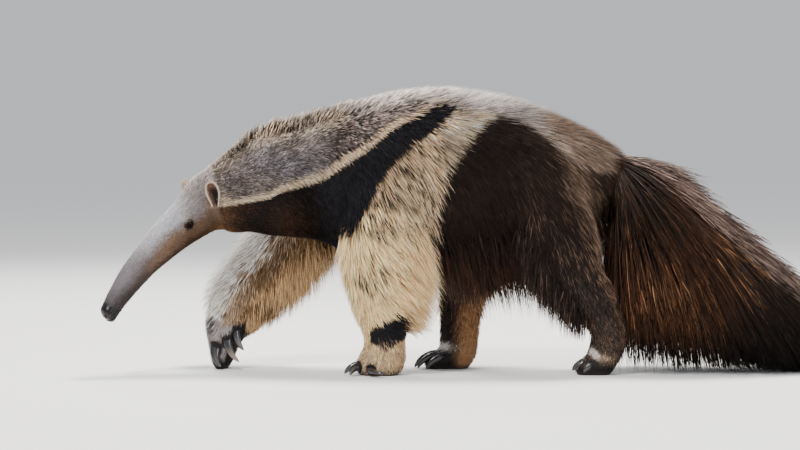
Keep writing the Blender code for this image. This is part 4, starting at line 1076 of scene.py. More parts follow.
def skin_material():
    mat, t, bsdf = principled("skin_and_short_hair", 0.60, 0.20, 0.0)
    tone = node(t, "ShaderNodeVertexColor", layer_name="tone")
    gloss = node(t, "ShaderNodeAttribute", attribute_name="gloss")
    fuzz = node(t, "ShaderNodeAttribute", attribute_name="fuzz")
    place = node(t, "ShaderNodeTexCoord")
    # hair grain runs along the head: fine across it, long along it
    turn = node(t, "ShaderNodeMapping", vector_type='POINT')
    eul = Matrix((HEAD_D, HEAD_LEFT, HEAD_UP)).to_euler()
    turn.inputs["Rotation"].default_value = eul
    squash = node(t, "ShaderNodeMapping", vector_type='POINT')
    squash.inputs["Scale"].default_value = (0.22, 1.0, 1.0)
    t.links.new(place.outputs["Object"], turn.inputs["Vector"])
    t.links.new(turn.outputs["Vector"], squash.inputs["Vector"])
    hair = node(t, "ShaderNodeTexNoise", Scale=900.0, Detail=3.0, Roughness=0.6)
    t.links.new(squash.outputs["Vector"], hair.inputs["Vector"])
    pebble = node(t, "ShaderNodeTexVoronoi", Scale=620.0)
    t.links.new(place.outputs["Object"], pebble.inputs["Vector"])
    broad = node(t, "ShaderNodeTexNoise", Scale=70.0, Detail=3.0)
    t.links.new(place.outputs["Object"], broad.inputs["Vector"])
    # colour: tone times grain
    ramp = node(t, "ShaderNodeMapRange")
    ramp.inputs["From Min"].default_value = 0.30
    ramp.inputs["From Max"].default_value = 0.72
    ramp.inputs["To Min"].default_value = 0.72
    ramp.inputs["To Max"].default_value = 1.25
    t.links.new(hair.outputs["Fac"], ramp.inputs["Value"])
    mul = node(t, "ShaderNodeMix", data_type='RGBA', blend_type='MULTIPLY')
    mul.inputs["Factor"].default_value = 1.0
    t.links.new(tone.outputs["Color"], mul.inputs["A"])
    t.links.new(ramp.outputs["Result"], mul.inputs["B"])
    t.links.new(mul.outputs["Result"], bsdf.inputs["Base Color"])
    rough = node(t, "ShaderNodeMapRange")
    rough.inputs["To Min"].default_value = 0.66
    rough.inputs["To Max"].default_value = 0.30
    t.links.new(gloss.outputs["Fac"], rough.inputs["Value"])
    t.links.new(rough.outputs["Result"], bsdf.inputs["Roughness"])
    bump1 = node(t, "ShaderNodeBump", Distance=0.0008)
    bump1.inputs["Strength"].default_value = 0.75
    hmul = node(t, "ShaderNodeMath", operation='MULTIPLY')
    t.links.new(hair.outputs["Fac"], hmul.inputs[0])
    t.links.new(fuzz.outputs["Fac"], hmul.inputs[1])
    t.links.new(hmul.outputs["Value"], bump1.inputs["Height"])
    bump2 = node(t, "ShaderNodeBump", Distance=0.0003)
    bump2.inputs["Strength"].default_value = 0.35
    pmul = node(t, "ShaderNodeMath", operation='MULTIPLY')
    t.links.new(pebble.outputs["Distance"], pmul.inputs[0])
    t.links.new(gloss.outputs["Fac"], pmul.inputs[1])
    t.links.new(pmul.outputs["Value"], bump2.inputs["Height"])
    t.links.new(bump1.outputs["Normal"], bump2.inputs["Normal"])
    bump3 = node(t, "ShaderNodeBump", Distance=0.0012)
    bump3.inputs["Strength"].default_value = 0.35
    t.links.new(broad.outputs["Fac"], bump3.inputs["Height"])
    t.links.new(bump2.outputs["Normal"], bump3.inputs["Normal"])
    t.links.new(bump3.outputs["Normal"], bsdf.inputs["Normal"])
    return mat


def coat_material(name, rough, specular, sheen):
    mat, t, bsdf = principled(name, rough, specular, sheen)
    tone = node(t, "ShaderNodeVertexColor", layer_name="tone")
    place = node(t, "ShaderNodeTexCoord")
    grain = node(t, "ShaderNodeTexNoise", Scale=380.0, Detail=2.0)
    t.links.new(place.outputs["Object"], grain.inputs["Vector"])
    ramp = node(t, "ShaderNodeMapRange")
    ramp.inputs["From Min"].default_value = 0.30
    ramp.inputs["From Max"].default_value = 0.70
    ramp.inputs["To Min"].default_value = 0.82
    ramp.inputs["To Max"].default_value = 1.15
    t.links.new(grain.outputs["Fac"], ramp.inputs["Value"])
    mul = node(t, "ShaderNodeMix", data_type='RGBA', blend_type='MULTIPLY')
    mul.inputs["Factor"].default_value = 1.0
    t.links.new(tone.outputs["Color"], mul.inputs["A"])
    t.links.new(ramp.outputs["Result"], mul.inputs["B"])
    t.links.new(mul.outputs["Result"], bsdf.inputs["Base Color"])
    return mat


SKIN_MAT = skin_material()
skin.data.materials.clear()
skin.data.materials.append(SKIN_MAT)
COAT_MATS = {
    "short": coat_material("short_hair", 0.62, 0.09, 0.0),
    "long": coat_material("long_hair", 0.50, 0.13, 0.0),
}


# ------------------------------------------------------------------ ears
def ear_leaf(base, up, out):
    """An open cup, one sheet with a fold down the middle; make_ear gives it a front and a back joined at the rim."""
    up = np.array(Vector(up).normalized())
    out = np.array(out, float)
    out = unit(out - up * (out @ up))
    side = unit(np.cross(up, out))
    nu, nv = 22, 26
    base = np.array(base)
    front, depth = [], []
    for j in range(nv + 1):
        t = 1.0 - (1.0 - j / nv) ** 1.3
        if t < 0.58:
            wide = 0.46 + 0.54 * float(smooth(-0.10, 0.58, t))
        else:
            wide = math.sqrt(max(0.0, 1.0 - ((t - 0.58) / 0.42) ** 2.3))
        wide = max(EAR_WIDTH / 2 * wide, 0.0026)
        for i in range(nu + 1):
            s = -1.0 + 2.0 * i / nu
            dip = EAR_CUP * (1 - s * s) * math.sin(math.pi * (0.14 + 0.80 * t)) ** 0.7
            fold = 0.0022 * math.exp(-((s - 0.15) / 0.16) ** 2) * math.sin(math.pi * t) ** 0.5
            lean = 0.006 * t * t
            front.append(base + up * (EAR_HEIGHT * (t - 0.10)) + side * (wide * math.sin(s * math.pi / 2))
                         + out * (0.0095 - dip + lean + fold))
            depth.append((s, t, dip))
    return np.array(front), np.array(depth), nu, nv


EAR_UP_DIR = {"left": (-0.16, -0.14, 0.98), "right": (-0.20, 0.16, 0.97)}
EAR_OPEN = {"left": (-0.30, -0.95, 0.05), "right": (-0.62, 0.78, 0.05)}
ear_samples = []


def make_ear(side):
    base = head_point(7, EAR_ALONG, EAR_UP, EAR_OUT * SIGN[side])
    pts, info, nu, nv = ear_leaf(base, EAR_UP_DIR[side], EAR_OPEN[side])
    faces = []
    for j in range(nv):
        for i in range(nu):
            a = j * (nu + 1) + i
            faces.append((a, a + 1, a + nu + 2, a + nu + 1))
    mesh = bpy.data.meshes.new("ear_leaf")
    mesh.from_pydata([tuple(p) for p in pts], [], faces)
    n0 = np.zeros((len(pts), 3))
    mesh.update()
    n0 = normals_of(mesh)
    opening = np.array(EAR_OPEN[side])
    if (n0 @ opening).mean() < 0:
        n0 = -n0
    bpy.data.meshes.remove(mesh)
    s, t, dip = info.T
    edge = np.maximum(np.abs(s), smooth(0.80, 1.0, t))
    thick = EAR_SKIN * (1 - 0.45 * smooth(0.7, 1.0, edge))
    front = pts + n0 * (thick / 2)[:, None]
    back = pts - n0 * (thick / 2)[:, None]
    n = len(pts)
    verts = [tuple(p) for p in np.concatenate([front, back])]
    all_faces = list(faces) + [tuple(v + n for v in reversed(f)) for f in faces]
    rim = [j * (nu + 1) for j in range(nv + 1)] + [nv * (nu + 1) + i for i in range(1, nu + 1)] \
        + [j * (nu + 1) + nu for j in range(nv - 1, -1, -1)] + [i for i in range(nu - 1, 0, -1)]
    for a, b in zip(rim, rim[1:] + rim[:1]):
        all_faces.append((a, b, b + n, a + n))
    obj = raw_object("ear_skin_" + side, verts, all_faces)
    tone = np.zeros((2 * n, 3))
    inner = linear((92, 68, 52))
    hollow_shade = linear((14, 9, 8))
    rimc = linear((206, 186, 166))
    outer = linear((120, 106, 98))
    # painted shade: the hollow of the ear is darkened nearly to black
    slit = np.exp(-(np.abs(s - 0.10 + 0.25 * (t - 0.3)) / 0.56) ** 2.6) * (1 - smooth(0.58, 0.84, t))
    front_tone = mix(np.tile(inner, (n, 1)), hollow_shade, np.clip(slit * 1.15, 0, 1))
    front_tone = mix(front_tone, rimc, smooth(0.80, 0.97, edge))
    back_tone = mix(np.tile(outer, (n, 1)), rimc, smooth(0.86, 1.0, edge))
    tone[:n], tone[n:] = front_tone, back_tone
    grain = noise(np.concatenate([front, back]), 0.0018, 70)
    tone = tone * (0.80 + 0.40 * grain)[:, None]
    paint(obj.data, tone, np.zeros(2 * n), np.ones(2 * n))
    obj.data.materials.append(SKIN_MAT)
    obj.data.shade_smooth()
    # roots for the ear's own hair: along the rim and over the back
    ear_samples.append((side, front, back, n0, info, np.array(EAR_UP_DIR[side])))
    return obj


ears = [make_ear("left"), make_ear("right")]


# ------------------------------------------------------------------ coat
def nearest(P):
    out = np.empty_like(P)
    nor = np.empty_like(P)
    find = skin_tree.find_nearest
    for i, p in enumerate(P):
        hit = find(p)
        out[i] = hit[0]
        nor[i] = hit[1]
    return out, nor


tri = np.array([(t.vertices[0], t.vertices[1], t.vertices[2]) for t in (mesh.calc_loop_triangles() or mesh.loop_triangles)])
A, B, C3 = co[tri[:, 0]], co[tri[:, 1]], co[tri[:, 2]]
tri_area = np.linalg.norm(np.cross(B - A, C3 - A), axis=1) / 2
tri_mid = (A + B + C3) / 3
nrm = normals_of(mesh)
tri_w, tri_info, tri_own = markings(tri_mid)
tri_part = tri_own.argmax(1)
ROOTS = {}


def scatter(count, weight, seed):
    """Even, jittered roots over the skin; weight is hairs per area, triangle by triangle."""
    rng = np.random.default_rng(seed)
    load = tri_area * weight
    total = load.sum()
    cum = np.cumsum(load)
    at = (np.arange(count) + rng.random(count)) * (total / count)
    idx = np.minimum(np.searchsorted(cum, at), len(cum) - 1)
    r1, r2 = np.sqrt(rng.random(count)), rng.random(count)
    b0, b1, b2 = 1 - r1, r1 * (1 - r2), r1 * r2
    t = tri[idx]
    P = co[t[:, 0]] * b0[:, None] + co[t[:, 1]] * b1[:, None] + co[t[:, 2]] * b2[:, None]
    N = unit(nrm[t[:, 0]] * b0[:, None] + nrm[t[:, 1]] * b1[:, None] + nrm[t[:, 2]] * b2[:, None])
    return P, N, rng


def direction(angle, yaw=0.0):
    """Backward and down by 'angle' degrees below level; yaw turns it outward."""
    a = np.radians(angle)
    return np.stack([np.cos(a), np.zeros_like(a) + yaw, -np.sin(a)], -1)


def lay_hair(P, N, D, L, lift, droop, hug, segs, floor=0.0015, rng=None, wave=0.0, bend=None, cling=0.15,
             free=False):
    """Nodes of each hair: it leaves the skin at 'lift', is pulled down by 'droop' and kept over the skin."""
    bend = np.zeros((len(P), 3)) if bend is None else bend
    n = len(P)
    T = unit(D - N * (D * N).sum(1)[:, None])
    X = np.empty((n, segs + 1, 3))
    NN = np.empty((n, segs + 1, 3))
    X[:, 0] = P - N * np.minimum(0.0012, L * 0.12)[:, None]
    NN[:, 0] = N
    d = T * np.cos(lift)[:, None] + N * np.sin(lift)[:, None]
    if free:
        # where the hair would leave the skin anyway it hangs straight
        w = smooth(-0.15, 0.40, (unit(D) * N).sum(1))
        d = unit(d * (1 - w)[:, None] + unit(D) * w[:, None])
    pos = P.copy()
    step = (L / segs)[:, None]
    side0 = unit(np.cross(T, N))
    phase = rng.random(n) * 2 * np.pi
    for k in range(1, segs + 1):
        prev = pos
        t = k / segs
        swing = side0 * (wave * np.sin(phase + 5.0 * t))[:, None] if np.ndim(wave) or wave else 0.0
        pos = pos + unit(d + swing) * step
        S, SN = nearest(pos)
        h = ((pos - S) * SN).sum(1)
        least = 0.0006 + 0.0012 * t
        most = np.sin(lift) * L * t * 0.9 + 0.0015 + hug
        h2 = np.clip(h, least, np.maximum(most, least))
        pos = pos + SN * (h2 - h)[:, None]
        low = pos[:, 2] < floor
        if low.any():
            pos[low, 2] = floor + 0.006 * rng.random(low.sum()) * t
        X[:, k] = pos
        NN[:, k] = SN
        d = unit(unit(pos - prev) * 1.0 + np.array([0, 0, -1.0]) * droop[:, None] * (1.0 / segs)
                 + T * cling + bend / segs)
    return X, NN


def clump(X, size, pull, seed):
    """Tips of hairs that root close together lean toward each other."""
    P = X[:, 0]
    wob = np.stack([noise(P, size * 1.7, seed + k) for k in range(3)], 1) * size * 1.2
    cell = np.floor((P + wob) / size).astype(np.int64)
    key = cell[:, 0] * 73856093 ^ cell[:, 1] * 19349663 ^ cell[:, 2] * 83492791
    _, inv, cnt = np.unique(key, return_inverse=True, return_counts=True)
    S = X.shape[1] - 1
    off = X[:, -1] - X[:, 0]
    mean_root = np.stack([np.bincount(inv, P[:, k]) / cnt for k in range(3)], 1)[inv]
    mean_off = np.stack([np.bincount(inv, off[:, k]) / cnt for k in range(3)], 1)[inv]
    want = mean_root + mean_off * 1.02
    move = (want - X[:, -1])
    for k in range(1, S + 1):
        t = k / S
        X[:, k] += move * (np.asarray(pull) * t ** 1.6)[..., None] if np.ndim(pull) else move * pull * t ** 1.6
    return X


PROFILE = {1: (1.0,), 2: (0.85, 0.80), 3: (0.80, 1.0, 0.62), 4: (0.75, 1.0, 0.85, 0.50)}


def hair_mesh(name, X, NN, width, tones, uv, mat, flat=0.55, slot="coat_grey"):
    """One joined mesh of closed three-sided tapered locks."""
    n, S1, _ = X.shape
    S = S1 - 1
    d = np.empty_like(X)
    d[:, 1:-1] = X[:, 2:] - X[:, :-2]
    d[:, 0] = X[:, 1] - X[:, 0]
    d[:, -1] = X[:, -1] - X[:, -2]
    d = unit(d)
    side = unit(np.cross(d, NN))
    out = unit(np.cross(side, d))
    prof = np.array(PROFILE[S])
    nv = 3 * S + 1
    V = np.empty((n, nv, 3), np.float32)
    for k in range(S):
        wk = (width * prof[k] / 2)[:, None]
        V[:, 3 * k + 0] = X[:, k] + side[:, k] * wk
        V[:, 3 * k + 1] = X[:, k] + out[:, k] * wk * flat * 1.6
        V[:, 3 * k + 2] = X[:, k] - side[:, k] * wk
    V[:, -1] = X[:, -1]
    F, U = [], []
    for k in range(S - 1):
        for j in range(3):
            a, b = 3 * k + j, 3 * k + (j + 1) % 3
            c, e = a + 3, b + 3
            ua, ub = (0.0, 0.5, 1.0)[j], (0.5, 1.0, 0.0)[j]
            va, vc = k / S, (k + 1) / S
            F += [(a, b, e), (a, e, c)]
            U += [((ua, va), (ub, va), (ub, vc)), ((ua, va), (ub, vc), (ua, vc))]
    k = S - 1
    for j in range(3):
        a, b = 3 * k + j, 3 * k + (j + 1) % 3
        ua, ub = (0.0, 0.5, 1.0)[j], (0.5, 1.0, 0.0)[j]
        F.append((a, b, nv - 1))
        U.append(((ua, k / S), (ub, k / S), (0.5, 1.0)))
    F.append((2, 1, 0))
    U.append(((1.0, 0.0), (0.5, 0.12), (0.0, 0.0)))
    F = np.array(F)
    U = np.array(U, float)
    nf = len(F)
    mesh = bpy.data.meshes.new(name)
    mesh.vertices.add(n * nv)
    mesh.vertices.foreach_set("co", V.reshape(-1))
    loops = (F[None] + (np.arange(n) * nv)[:, None, None]).reshape(-1).astype(np.int32)
    mesh.loops.add(len(loops))
    mesh.loops.foreach_set("vertex_index", loops)
    mesh.polygons.add(n * nf)
    mesh.polygons.foreach_set("loop_start", np.arange(0, 3 * n * nf, 3, dtype=np.int32))
    layer = mesh.uv_layers.new(name="OFBake")
    patch = (U - 0.5) * 0.003
    full = uv[:, None, None, :] + patch[None]
    layer.data.foreach_set("uv", full.reshape(-1).astype(np.float32))
    rgba = np.ones((n, nv, 4), np.float32)
    for k in range(S):
        rgba[:, 3 * k:3 * k + 3, :3] = tones[:, k][:, None, :]
    rgba[:, -1, :3] = tones[:, S]
    mesh.update(calc_edges=True)
    mesh.validate()
    attr = mesh.color_attributes.new("tone", 'FLOAT_COLOR', 'POINT')
    attr.data.foreach_set("color", rgba.reshape(-1))
    mesh.shade_smooth()
    mesh.materials.append(mat)
    obj = bpy.data.objects.new(name, mesh)
    bpy.context.scene.collection.objects.link(obj)
    HAIR.append((obj, n, n * nf, slot))
    return obj


HAIR = []


def hair_tones(X, rng, spread=0.10, dark_root_and_shade=0.55, reach=0.55, streak=None, tuft=(0.004, 0.3), only=None, even=0.0):
    """Tone at each node: the look is read where the hair shows, then varied hair by hair."""
    n, S1, _ = X.shape
    S = S1 - 1
    spot = X[:, 0] * (1 - reach) + X[:, -1] * reach
    length = np.linalg.norm(X[:, -1] - X[:, 0], axis=1)
    jitter = rng.normal(0, 1, (n, 2)) * np.minimum(0.004, length * 0.10)[:, None]
    w, _, _ = markings(spot, jitter, only)
    cum = np.cumsum(w, 1)
    pick = (cum < (rng.random(n) * cum[:, -1])[:, None]).sum(1)
    pick = np.minimum(pick, len(NAMES) - 1)
    patch = noise(spot, 0.007, 81) * 0.55 + noise(spot, 0.022, 82) * 0.45
    if streak is not None:
        patch = streak
    second = rng.random(n) < np.clip(SHARE[pick] * (0.35 + 1.3 * smooth(0.35, 0.65, patch)), 0, 0.95)
    main = np.where(second[:, None], SECOND[pick], MAIN[pick])
    tip = np.where(second[:, None], mix(SECOND[pick], TIPC[pick], 0.30), TIPC[pick])
    if even:
        share = w / cum[:, -1:]
        main = main * (1 - even) + even * (share @ MAIN)
        tip = tip * (1 - even) + even * (share @ TIPC)
    grain = noise(X[:, 0], tuft[0], 83) * 0.7 + noise(X[:, 0], tuft[0] * 2.6, 84) * 0.3 - 0.5
    bright = np.exp(rng.normal(0, spread, n) + 2.4 * tuft[1] * grain)[:, None]
    hue = 1 + rng.normal(0, 0.018, (n, 3))
    out = np.empty((n, S + 1, 3))
    for k in range(S + 1):
        t = k / S
        # hair darker at the root and lighter at the tip: partly the hair's own banding, partly painted shade deep in
        # the coat and painted highlight on the tips
        root = dark_root_and_shade + (1 - dark_root_and_shade) * smooth(0.0, 0.45, t)
        toward = np.clip((t - (1 - TIPK[pick])) / np.maximum(TIPK[pick], 0.05), 0, 1)[:, None]
        out[:, k] = (main * (1 - toward) + tip * toward) * root * bright * hue
    return np.clip(out, 0, 1)


def unwrap(part, P, lo=0.0, hi=1.0, half=None):
    """Roots on the part's own unrolled skin: along it one way, round it the other."""
    s, a, b, q = CHARTS[part].place(P)
    ang = np.arctan2(b, a) / (2 * np.pi)
    # the section index is stepped, so the place between sections comes from the distance along the part
    c = CHARTS[part]
    at = np.round(s * (len(c.c) - 1)).astype(int)
    along = ((P - c.c[at]) * c.n[at]).sum(1)
    nxt = c.c[np.minimum(at + 1, len(c.c) - 1)] - c.c[np.maximum(at - 1, 0)]
    sign = np.sign((nxt * c.n[at]).sum(1))
    s = s + sign * along / (c.gap * (len(c.c) - 1))
    u = np.clip((s - lo) / max(hi - lo, 1e-6), 0, 1)
    if half == "left":
        v = np.clip(ang * 2, 0, 1)
    elif half == "right":
        v = np.clip(-ang * 2, 0, 1)
    else:
        v = ang + 0.5
    return 0.004 + 0.992 * np.stack([u, v], 1)


def part_is(*names):
    return np.isin(tri_part, [PARTS.index(n) for n in names])


SX, SY, SZ = tri_mid.T
spine_s, spine_a, spine_b, _ = tri_info["spine"]
head_d, head_u, head_v = head_coords(tri_mid)
on_head = part_is("head")
on_trunk = part_is("spine")
on_tail = part_is("tail")
bare = np.zeros(len(tri_mid))
for c, out, fwd, up in EYE_AT.values():
    q = tri_mid - c
    e = np.sqrt((q @ fwd / LID_LONG) ** 2 + (q @ up / LID_HIGH) ** 2)
    bare = np.maximum(bare, ((q @ out > -0.004) & (np.linalg.norm(q, axis=1) < 0.03)) * (1 - smooth(1.16, 1.46, e)))
bare = np.maximum(bare, on_head * (1 - smooth(0.010, 0.022, head_d)))
bare = np.maximum(bare, 1 - smooth(0.004, 0.012, SZ))
bare = np.maximum(bare, 1 - smooth(0.0012, 0.0040, claw_gap(tri_mid)))
cover = 1 - bare


# --- head: very short hair that points back along the head
def head_coat():
    weight = on_head * cover * (0.9 + 0.9 * smooth(0.10, 0.25, head_d))
    P, N, rng = scatter(20000, weight, 101)
    n = len(P)
    d, u, v = head_coords(P)
    s, a, b, q = CHARTS["head"].place(P)
    D = np.tile(-HD, (n, 1)) + np.outer(-0.25 * smooth(0.10, 0.24, d), HU)
    D += (rng.random((n, 3)) - 0.5) * 0.20
    L = mix(0.0034, 0.0080, smooth(0.03, 0.30, d)) * (0.75 + 0.5 * rng.random(n))
    crown = smooth(0.265, 0.315, d) * smooth(0.45, 0.9, a)
    L = L * (1 + 0.5 * crown)
    lift = np.radians(mix(7.0, 12.0, smooth(0.05, 0.3, d)) + 9 * crown + rng.normal(0, 3, n)).clip(0.04, 0.6)
    X, NN = lay_hair(P, N, D, L, lift, np.zeros(n), 0.0006, 1, rng=rng)
    tones = hair_tones(X, rng, 0.13, 0.84, 0.5, tuft=(0.0024, 0.32), even=0.42)
    width = np.full(n, 0.00092) * (0.8 + 0.5 * rng.random(n)) * (1 + 0.25 * smooth(0.1, 0.3, d))
    hair_mesh("coat_head", X, NN, width, tones, unwrap("head", P), COAT_MATS["short"], slot="face_skin")


# --- neck, back and flanks
def trunk_flow(P, rng, info=None):
    x, y, z = P.T
    s, a, b, q = CHARTS["spine"].place(P)
    a = np.clip(a, -1.1, 1.1)
    neck = 1 - smooth(-0.26, -0.08, x)
    rear = smooth(0.12, 0.34, x)
    ang_body = np.interp(a, [-1.0, -0.6, 0.0, 0.5, 0.85, 1.0], [78, 72, 60, 46, 20, 4])
    ang_neck = np.interp(a, [-1.0, -0.5, 0.0, 0.6, 1.0], [34, 26, 12, -12, -26])
    ang_rear = np.interp(a, [-1.0, -0.6, 0.0, 0.5, 0.85, 1.0], [80, 70, 60, 46, 32, 24])
    ang = mix(mix(ang_body, ang_rear, rear), ang_neck, neck)
    ang = ang + rng.normal(0, 5.0, len(P)) + 16 * (noise(P, 0.05, 91) - 0.5)
    D = direction(ang)
    D[:, 1] += 0.10 * (noise(P, 0.04, 92) - 0.5)
    return D, a, b, s


def trunk_length(P, a):
    x, y, z = P.T
    neck = 1 - smooth(-0.27, -0.07, x)
    L = np.interp(a, [-1.0, -0.7, -0.2, 0.5, 0.8, 1.0], [0.060, 0.056, 0.048, 0.040, 0.038, 0.042])
    L = mix(L, 0.0098, neck)
    L = L * mix(1.0, 1.15, smooth(0.10, 0.30, x)) * mix(1.0, 0.60, smooth(0.12, 0.24, x) * (1 - smooth(0.35, 0.75, a)) * smooth(-0.9, -0.6, a))
    fine = smooth(-0.004, 0.010, z - lerp_table(x, STRIPE_TOP)) * (1 - smooth(-0.06, 0.10, x))
    L = mix(L, np.minimum(L, 0.0150), fine)
    # black stripe and throat are sleeker
    dark = smooth(-0.006, 0.0, lerp_table(x, STRIPE_TOP) - z) * smooth(-0.006, 0.006, z - lerp_table(x, STRIPE_LOW)) * (x < 0.12)
    L = L * mix(1.0, 0.62, dark)
    L = np.where((x < -0.13) & (z < lerp_table(x, STRIPE_TOP)), np.minimum(L, 0.013), L)
    return L


def trunk_coat(name, mask, count, seed, lo, hi, half, segs=2):
    P, N, rng = scatter(count, mask, seed)
    n = len(P)
    D, a, b, s = trunk_flow(P, rng)
    L = trunk_length(P, a) * (0.70 + 0.55 * rng.random(n))
    x = P[:, 0]
    crest = smooth(0.72, 0.95, a) * smooth(-0.20, -0.06, x) * (1 - smooth(0.22, 0.34, x))
    lift = np.radians(np.interp(L, [0.010, 0.02, 0.04, 0.07], [30, 22, 14, 12]) * (1 - 0.25 * np.abs(N[:, 1]))
                      + 15 * crest + rng.normal(0, 5, n)).clip(0.06, 0.9)
    droop = 0.15 * (1 - crest)
    X, NN = lay_hair(P, N, D, L, lift, droop, 0.004 + 0.02 * crest.max(), segs, rng=rng)
    neck = name.startswith("coat_neck")
    if not neck:
        X = clump(X, 0.009, 0.30, seed)
    tones = hair_tones(X, rng, 0.32, 0.50, 0.6, tuft=(0.0030, 0.70))
    if not neck:
        fine = smooth(-0.004, 0.010, P[:, 2] - lerp_table(x, STRIPE_TOP)) * (1 - smooth(-0.12, 0.04, x))
        coarse = hair_tones(X, rng, 0.20, 0.42, 0.6, tuft=(0.0055, 0.42))
        tones = np.where((rng.random(n) < fine)[:, None, None], tones, coarse)
    width = np.interp(L, [0.010, 0.03, 0.06], [0.0013, 0.0018, 0.0020]) * (0.70 + 0.6 * rng.random(n))
    width = width * (0.86 if segs == 1 and not neck else 1.0)
    hair_mesh(name, X, NN, width, tones, unwrap("spine", P, lo, hi, half), COAT_MATS["short"])


left = SY < 0.0
ragged = SX + 0.060 * (noise(tri_mid, 0.020, 93) - 0.5)
neck_zone = on_trunk & (ragged < -0.150)
body_zone = on_trunk & (ragged >= -0.150) & (ragged < 0.10)
rear_zone = on_trunk & (ragged >= 0.10)


def s_at(x):
    c = CHARTS["spine"].c[:, 0]
    return float(np.interp(x, c, np.linspace(0, 1, len(c))))


# --- mane: short erect hair along the crest, then lower over the withers
def mane_coat():
    x = SX
    weight = (on_trunk | on_head) * cover * smooth(0.80, 0.96, spine_a) * (SX > -0.400) * (1 - smooth(0.02, 0.20, x)) * (spine_a > 0.7)
    weight = weight * mix(1.0, 0.5, smooth(-0.18, 0.0, x))
    P, N, rng = scatter(5800, weight, 301)
    n = len(P)
    x = P[:, 0]
    up = 1 - smooth(-0.20, -0.05, x)
    D = direction(mix(2.0, -30.0, up) + rng.normal(0, 8, n))
    D[:, 1] += rng.normal(0, 0.16, n)
    L = np.interp(x, [-0.40, -0.385, -0.35, -0.28, -0.20, -0.10, 0.10], [0.007, 0.010, 0.020, 0.027, 0.027, 0.032, 0.038])
    spiky = smooth(-0.375, -0.345, x) * (1 - smooth(-0.26, -0.18, x))
    L = L * mix(0.70 + 0.55 * rng.random(n), 0.45 + 1.10 * noise(P, 0.011, 77), spiky)
    lift = np.radians(np.interp(x, [-0.42, -0.37, -0.30, -0.20, -0.10, 0.10], [25, 52, 66, 56, 36, 30]) + rng.normal(0, 8, n)).clip(0.1, 1.3)
    X, NN = lay_hair(P, N, D, L, lift, np.full(n, 0.05), 0.03, 2, rng=rng)
    X = clump(X, 0.0090, mix(0.50, 0.92, spiky), 305)
    tones = hair_tones(X, rng, 0.24, 0.55, 0.3, tuft=(0.008, 0.34))
    width = np.full(n, 0.0014) * (0.75 + 0.5 * rng.random(n))
    hair_mesh("coat_mane", X, NN, width, tones, unwrap("spine", P, 0.0, s_at(0.21)), COAT_MATS["short"])


# --- belly fringe
def belly_coat():
    P, N, rng = scatter(4200, (on_trunk & (SX > -0.04)) * (1 - smooth(-0.85, -0.50, spine_a)), 311)
    n = len(P)
    x = P[:, 0]
    D = direction(np.full(n, 72.0) + rng.normal(0, 7, n))
    D[:, 1] += rng.normal(0, 0.08, n)
    L = np.interp(x, [-0.04, 0.05, 0.12, 0.30, 0.40], [0.040, 0.095, 0.125, 0.150, 0.120]) * (0.45 + 0.75 * rng.random(n) ** 1.5)
    lift = np.radians(38 + rng.normal(0, 10, n)).clip(0.2, 1.3)
    X, NN = lay_hair(P, N, D, L, lift, np.full(n, 0.9), 0.50, 3, rng=rng, wave=0.05, cling=0.0, free=True)
    X = clump(X, 0.012, 0.35, 315)
    tones = hair_tones(X, rng, 0.18, 0.60, 0.45, tuft=(0.006, 0.3))
    width = np.full(n, 0.0017) * (0.75 + 0.5 * rng.random(n))
    hair_mesh("coat_belly", X, NN, width, tones, unwrap("spine", P, s_at(-0.05), 1.0), COAT_MATS["long"], slot="coat_brown")


# --- legs
LEG_ANGLE = {   # degrees below level, from the front edge to the rear edge of the leg
    "foreleg_left": ([-1.0, -0.4, 0.2, 0.7, 1.0], [78, 63, 47, 34, 27]),
    "foreleg_right": ([-1.0, -0.4, 0.2, 0.7, 1.0], [122, 112, 98, 84, 72]),
    "hindleg_left": ([-1.0, -0.4, 0.2, 0.7, 1.0], [88, 74, 64, 60, 64]),
    "hindleg_right": ([-1.0, -0.4, 0.2, 0.7, 1.0], [104, 98, 92, 86, 84]),
}
LEG_LENGTH = {  # at floor, wrist or ankle, mid, top
    "foreleg_left": ([0.02, 0.06, 0.11, 0.145, 0.22, 0.34], [0.009, 0.012, 0.014, 0.030, 0.044, 0.046]),
    "foreleg_right": ([0.02, 0.06, 0.08, 0.12, 0.22, 0.34], [0.005, 0.010, 0.015, 0.024, 0.036, 0.040]),
    "hindleg_left": ([0.02, 0.06, 0.10, 0.22, 0.36], [0.004, 0.0065, 0.010, 0.020, 0.036]),
    "hindleg_right": ([0.02, 0.06, 0.10, 0.22, 0.36], [0.005, 0.011, 0.020, 0.030, 0.040]),
}


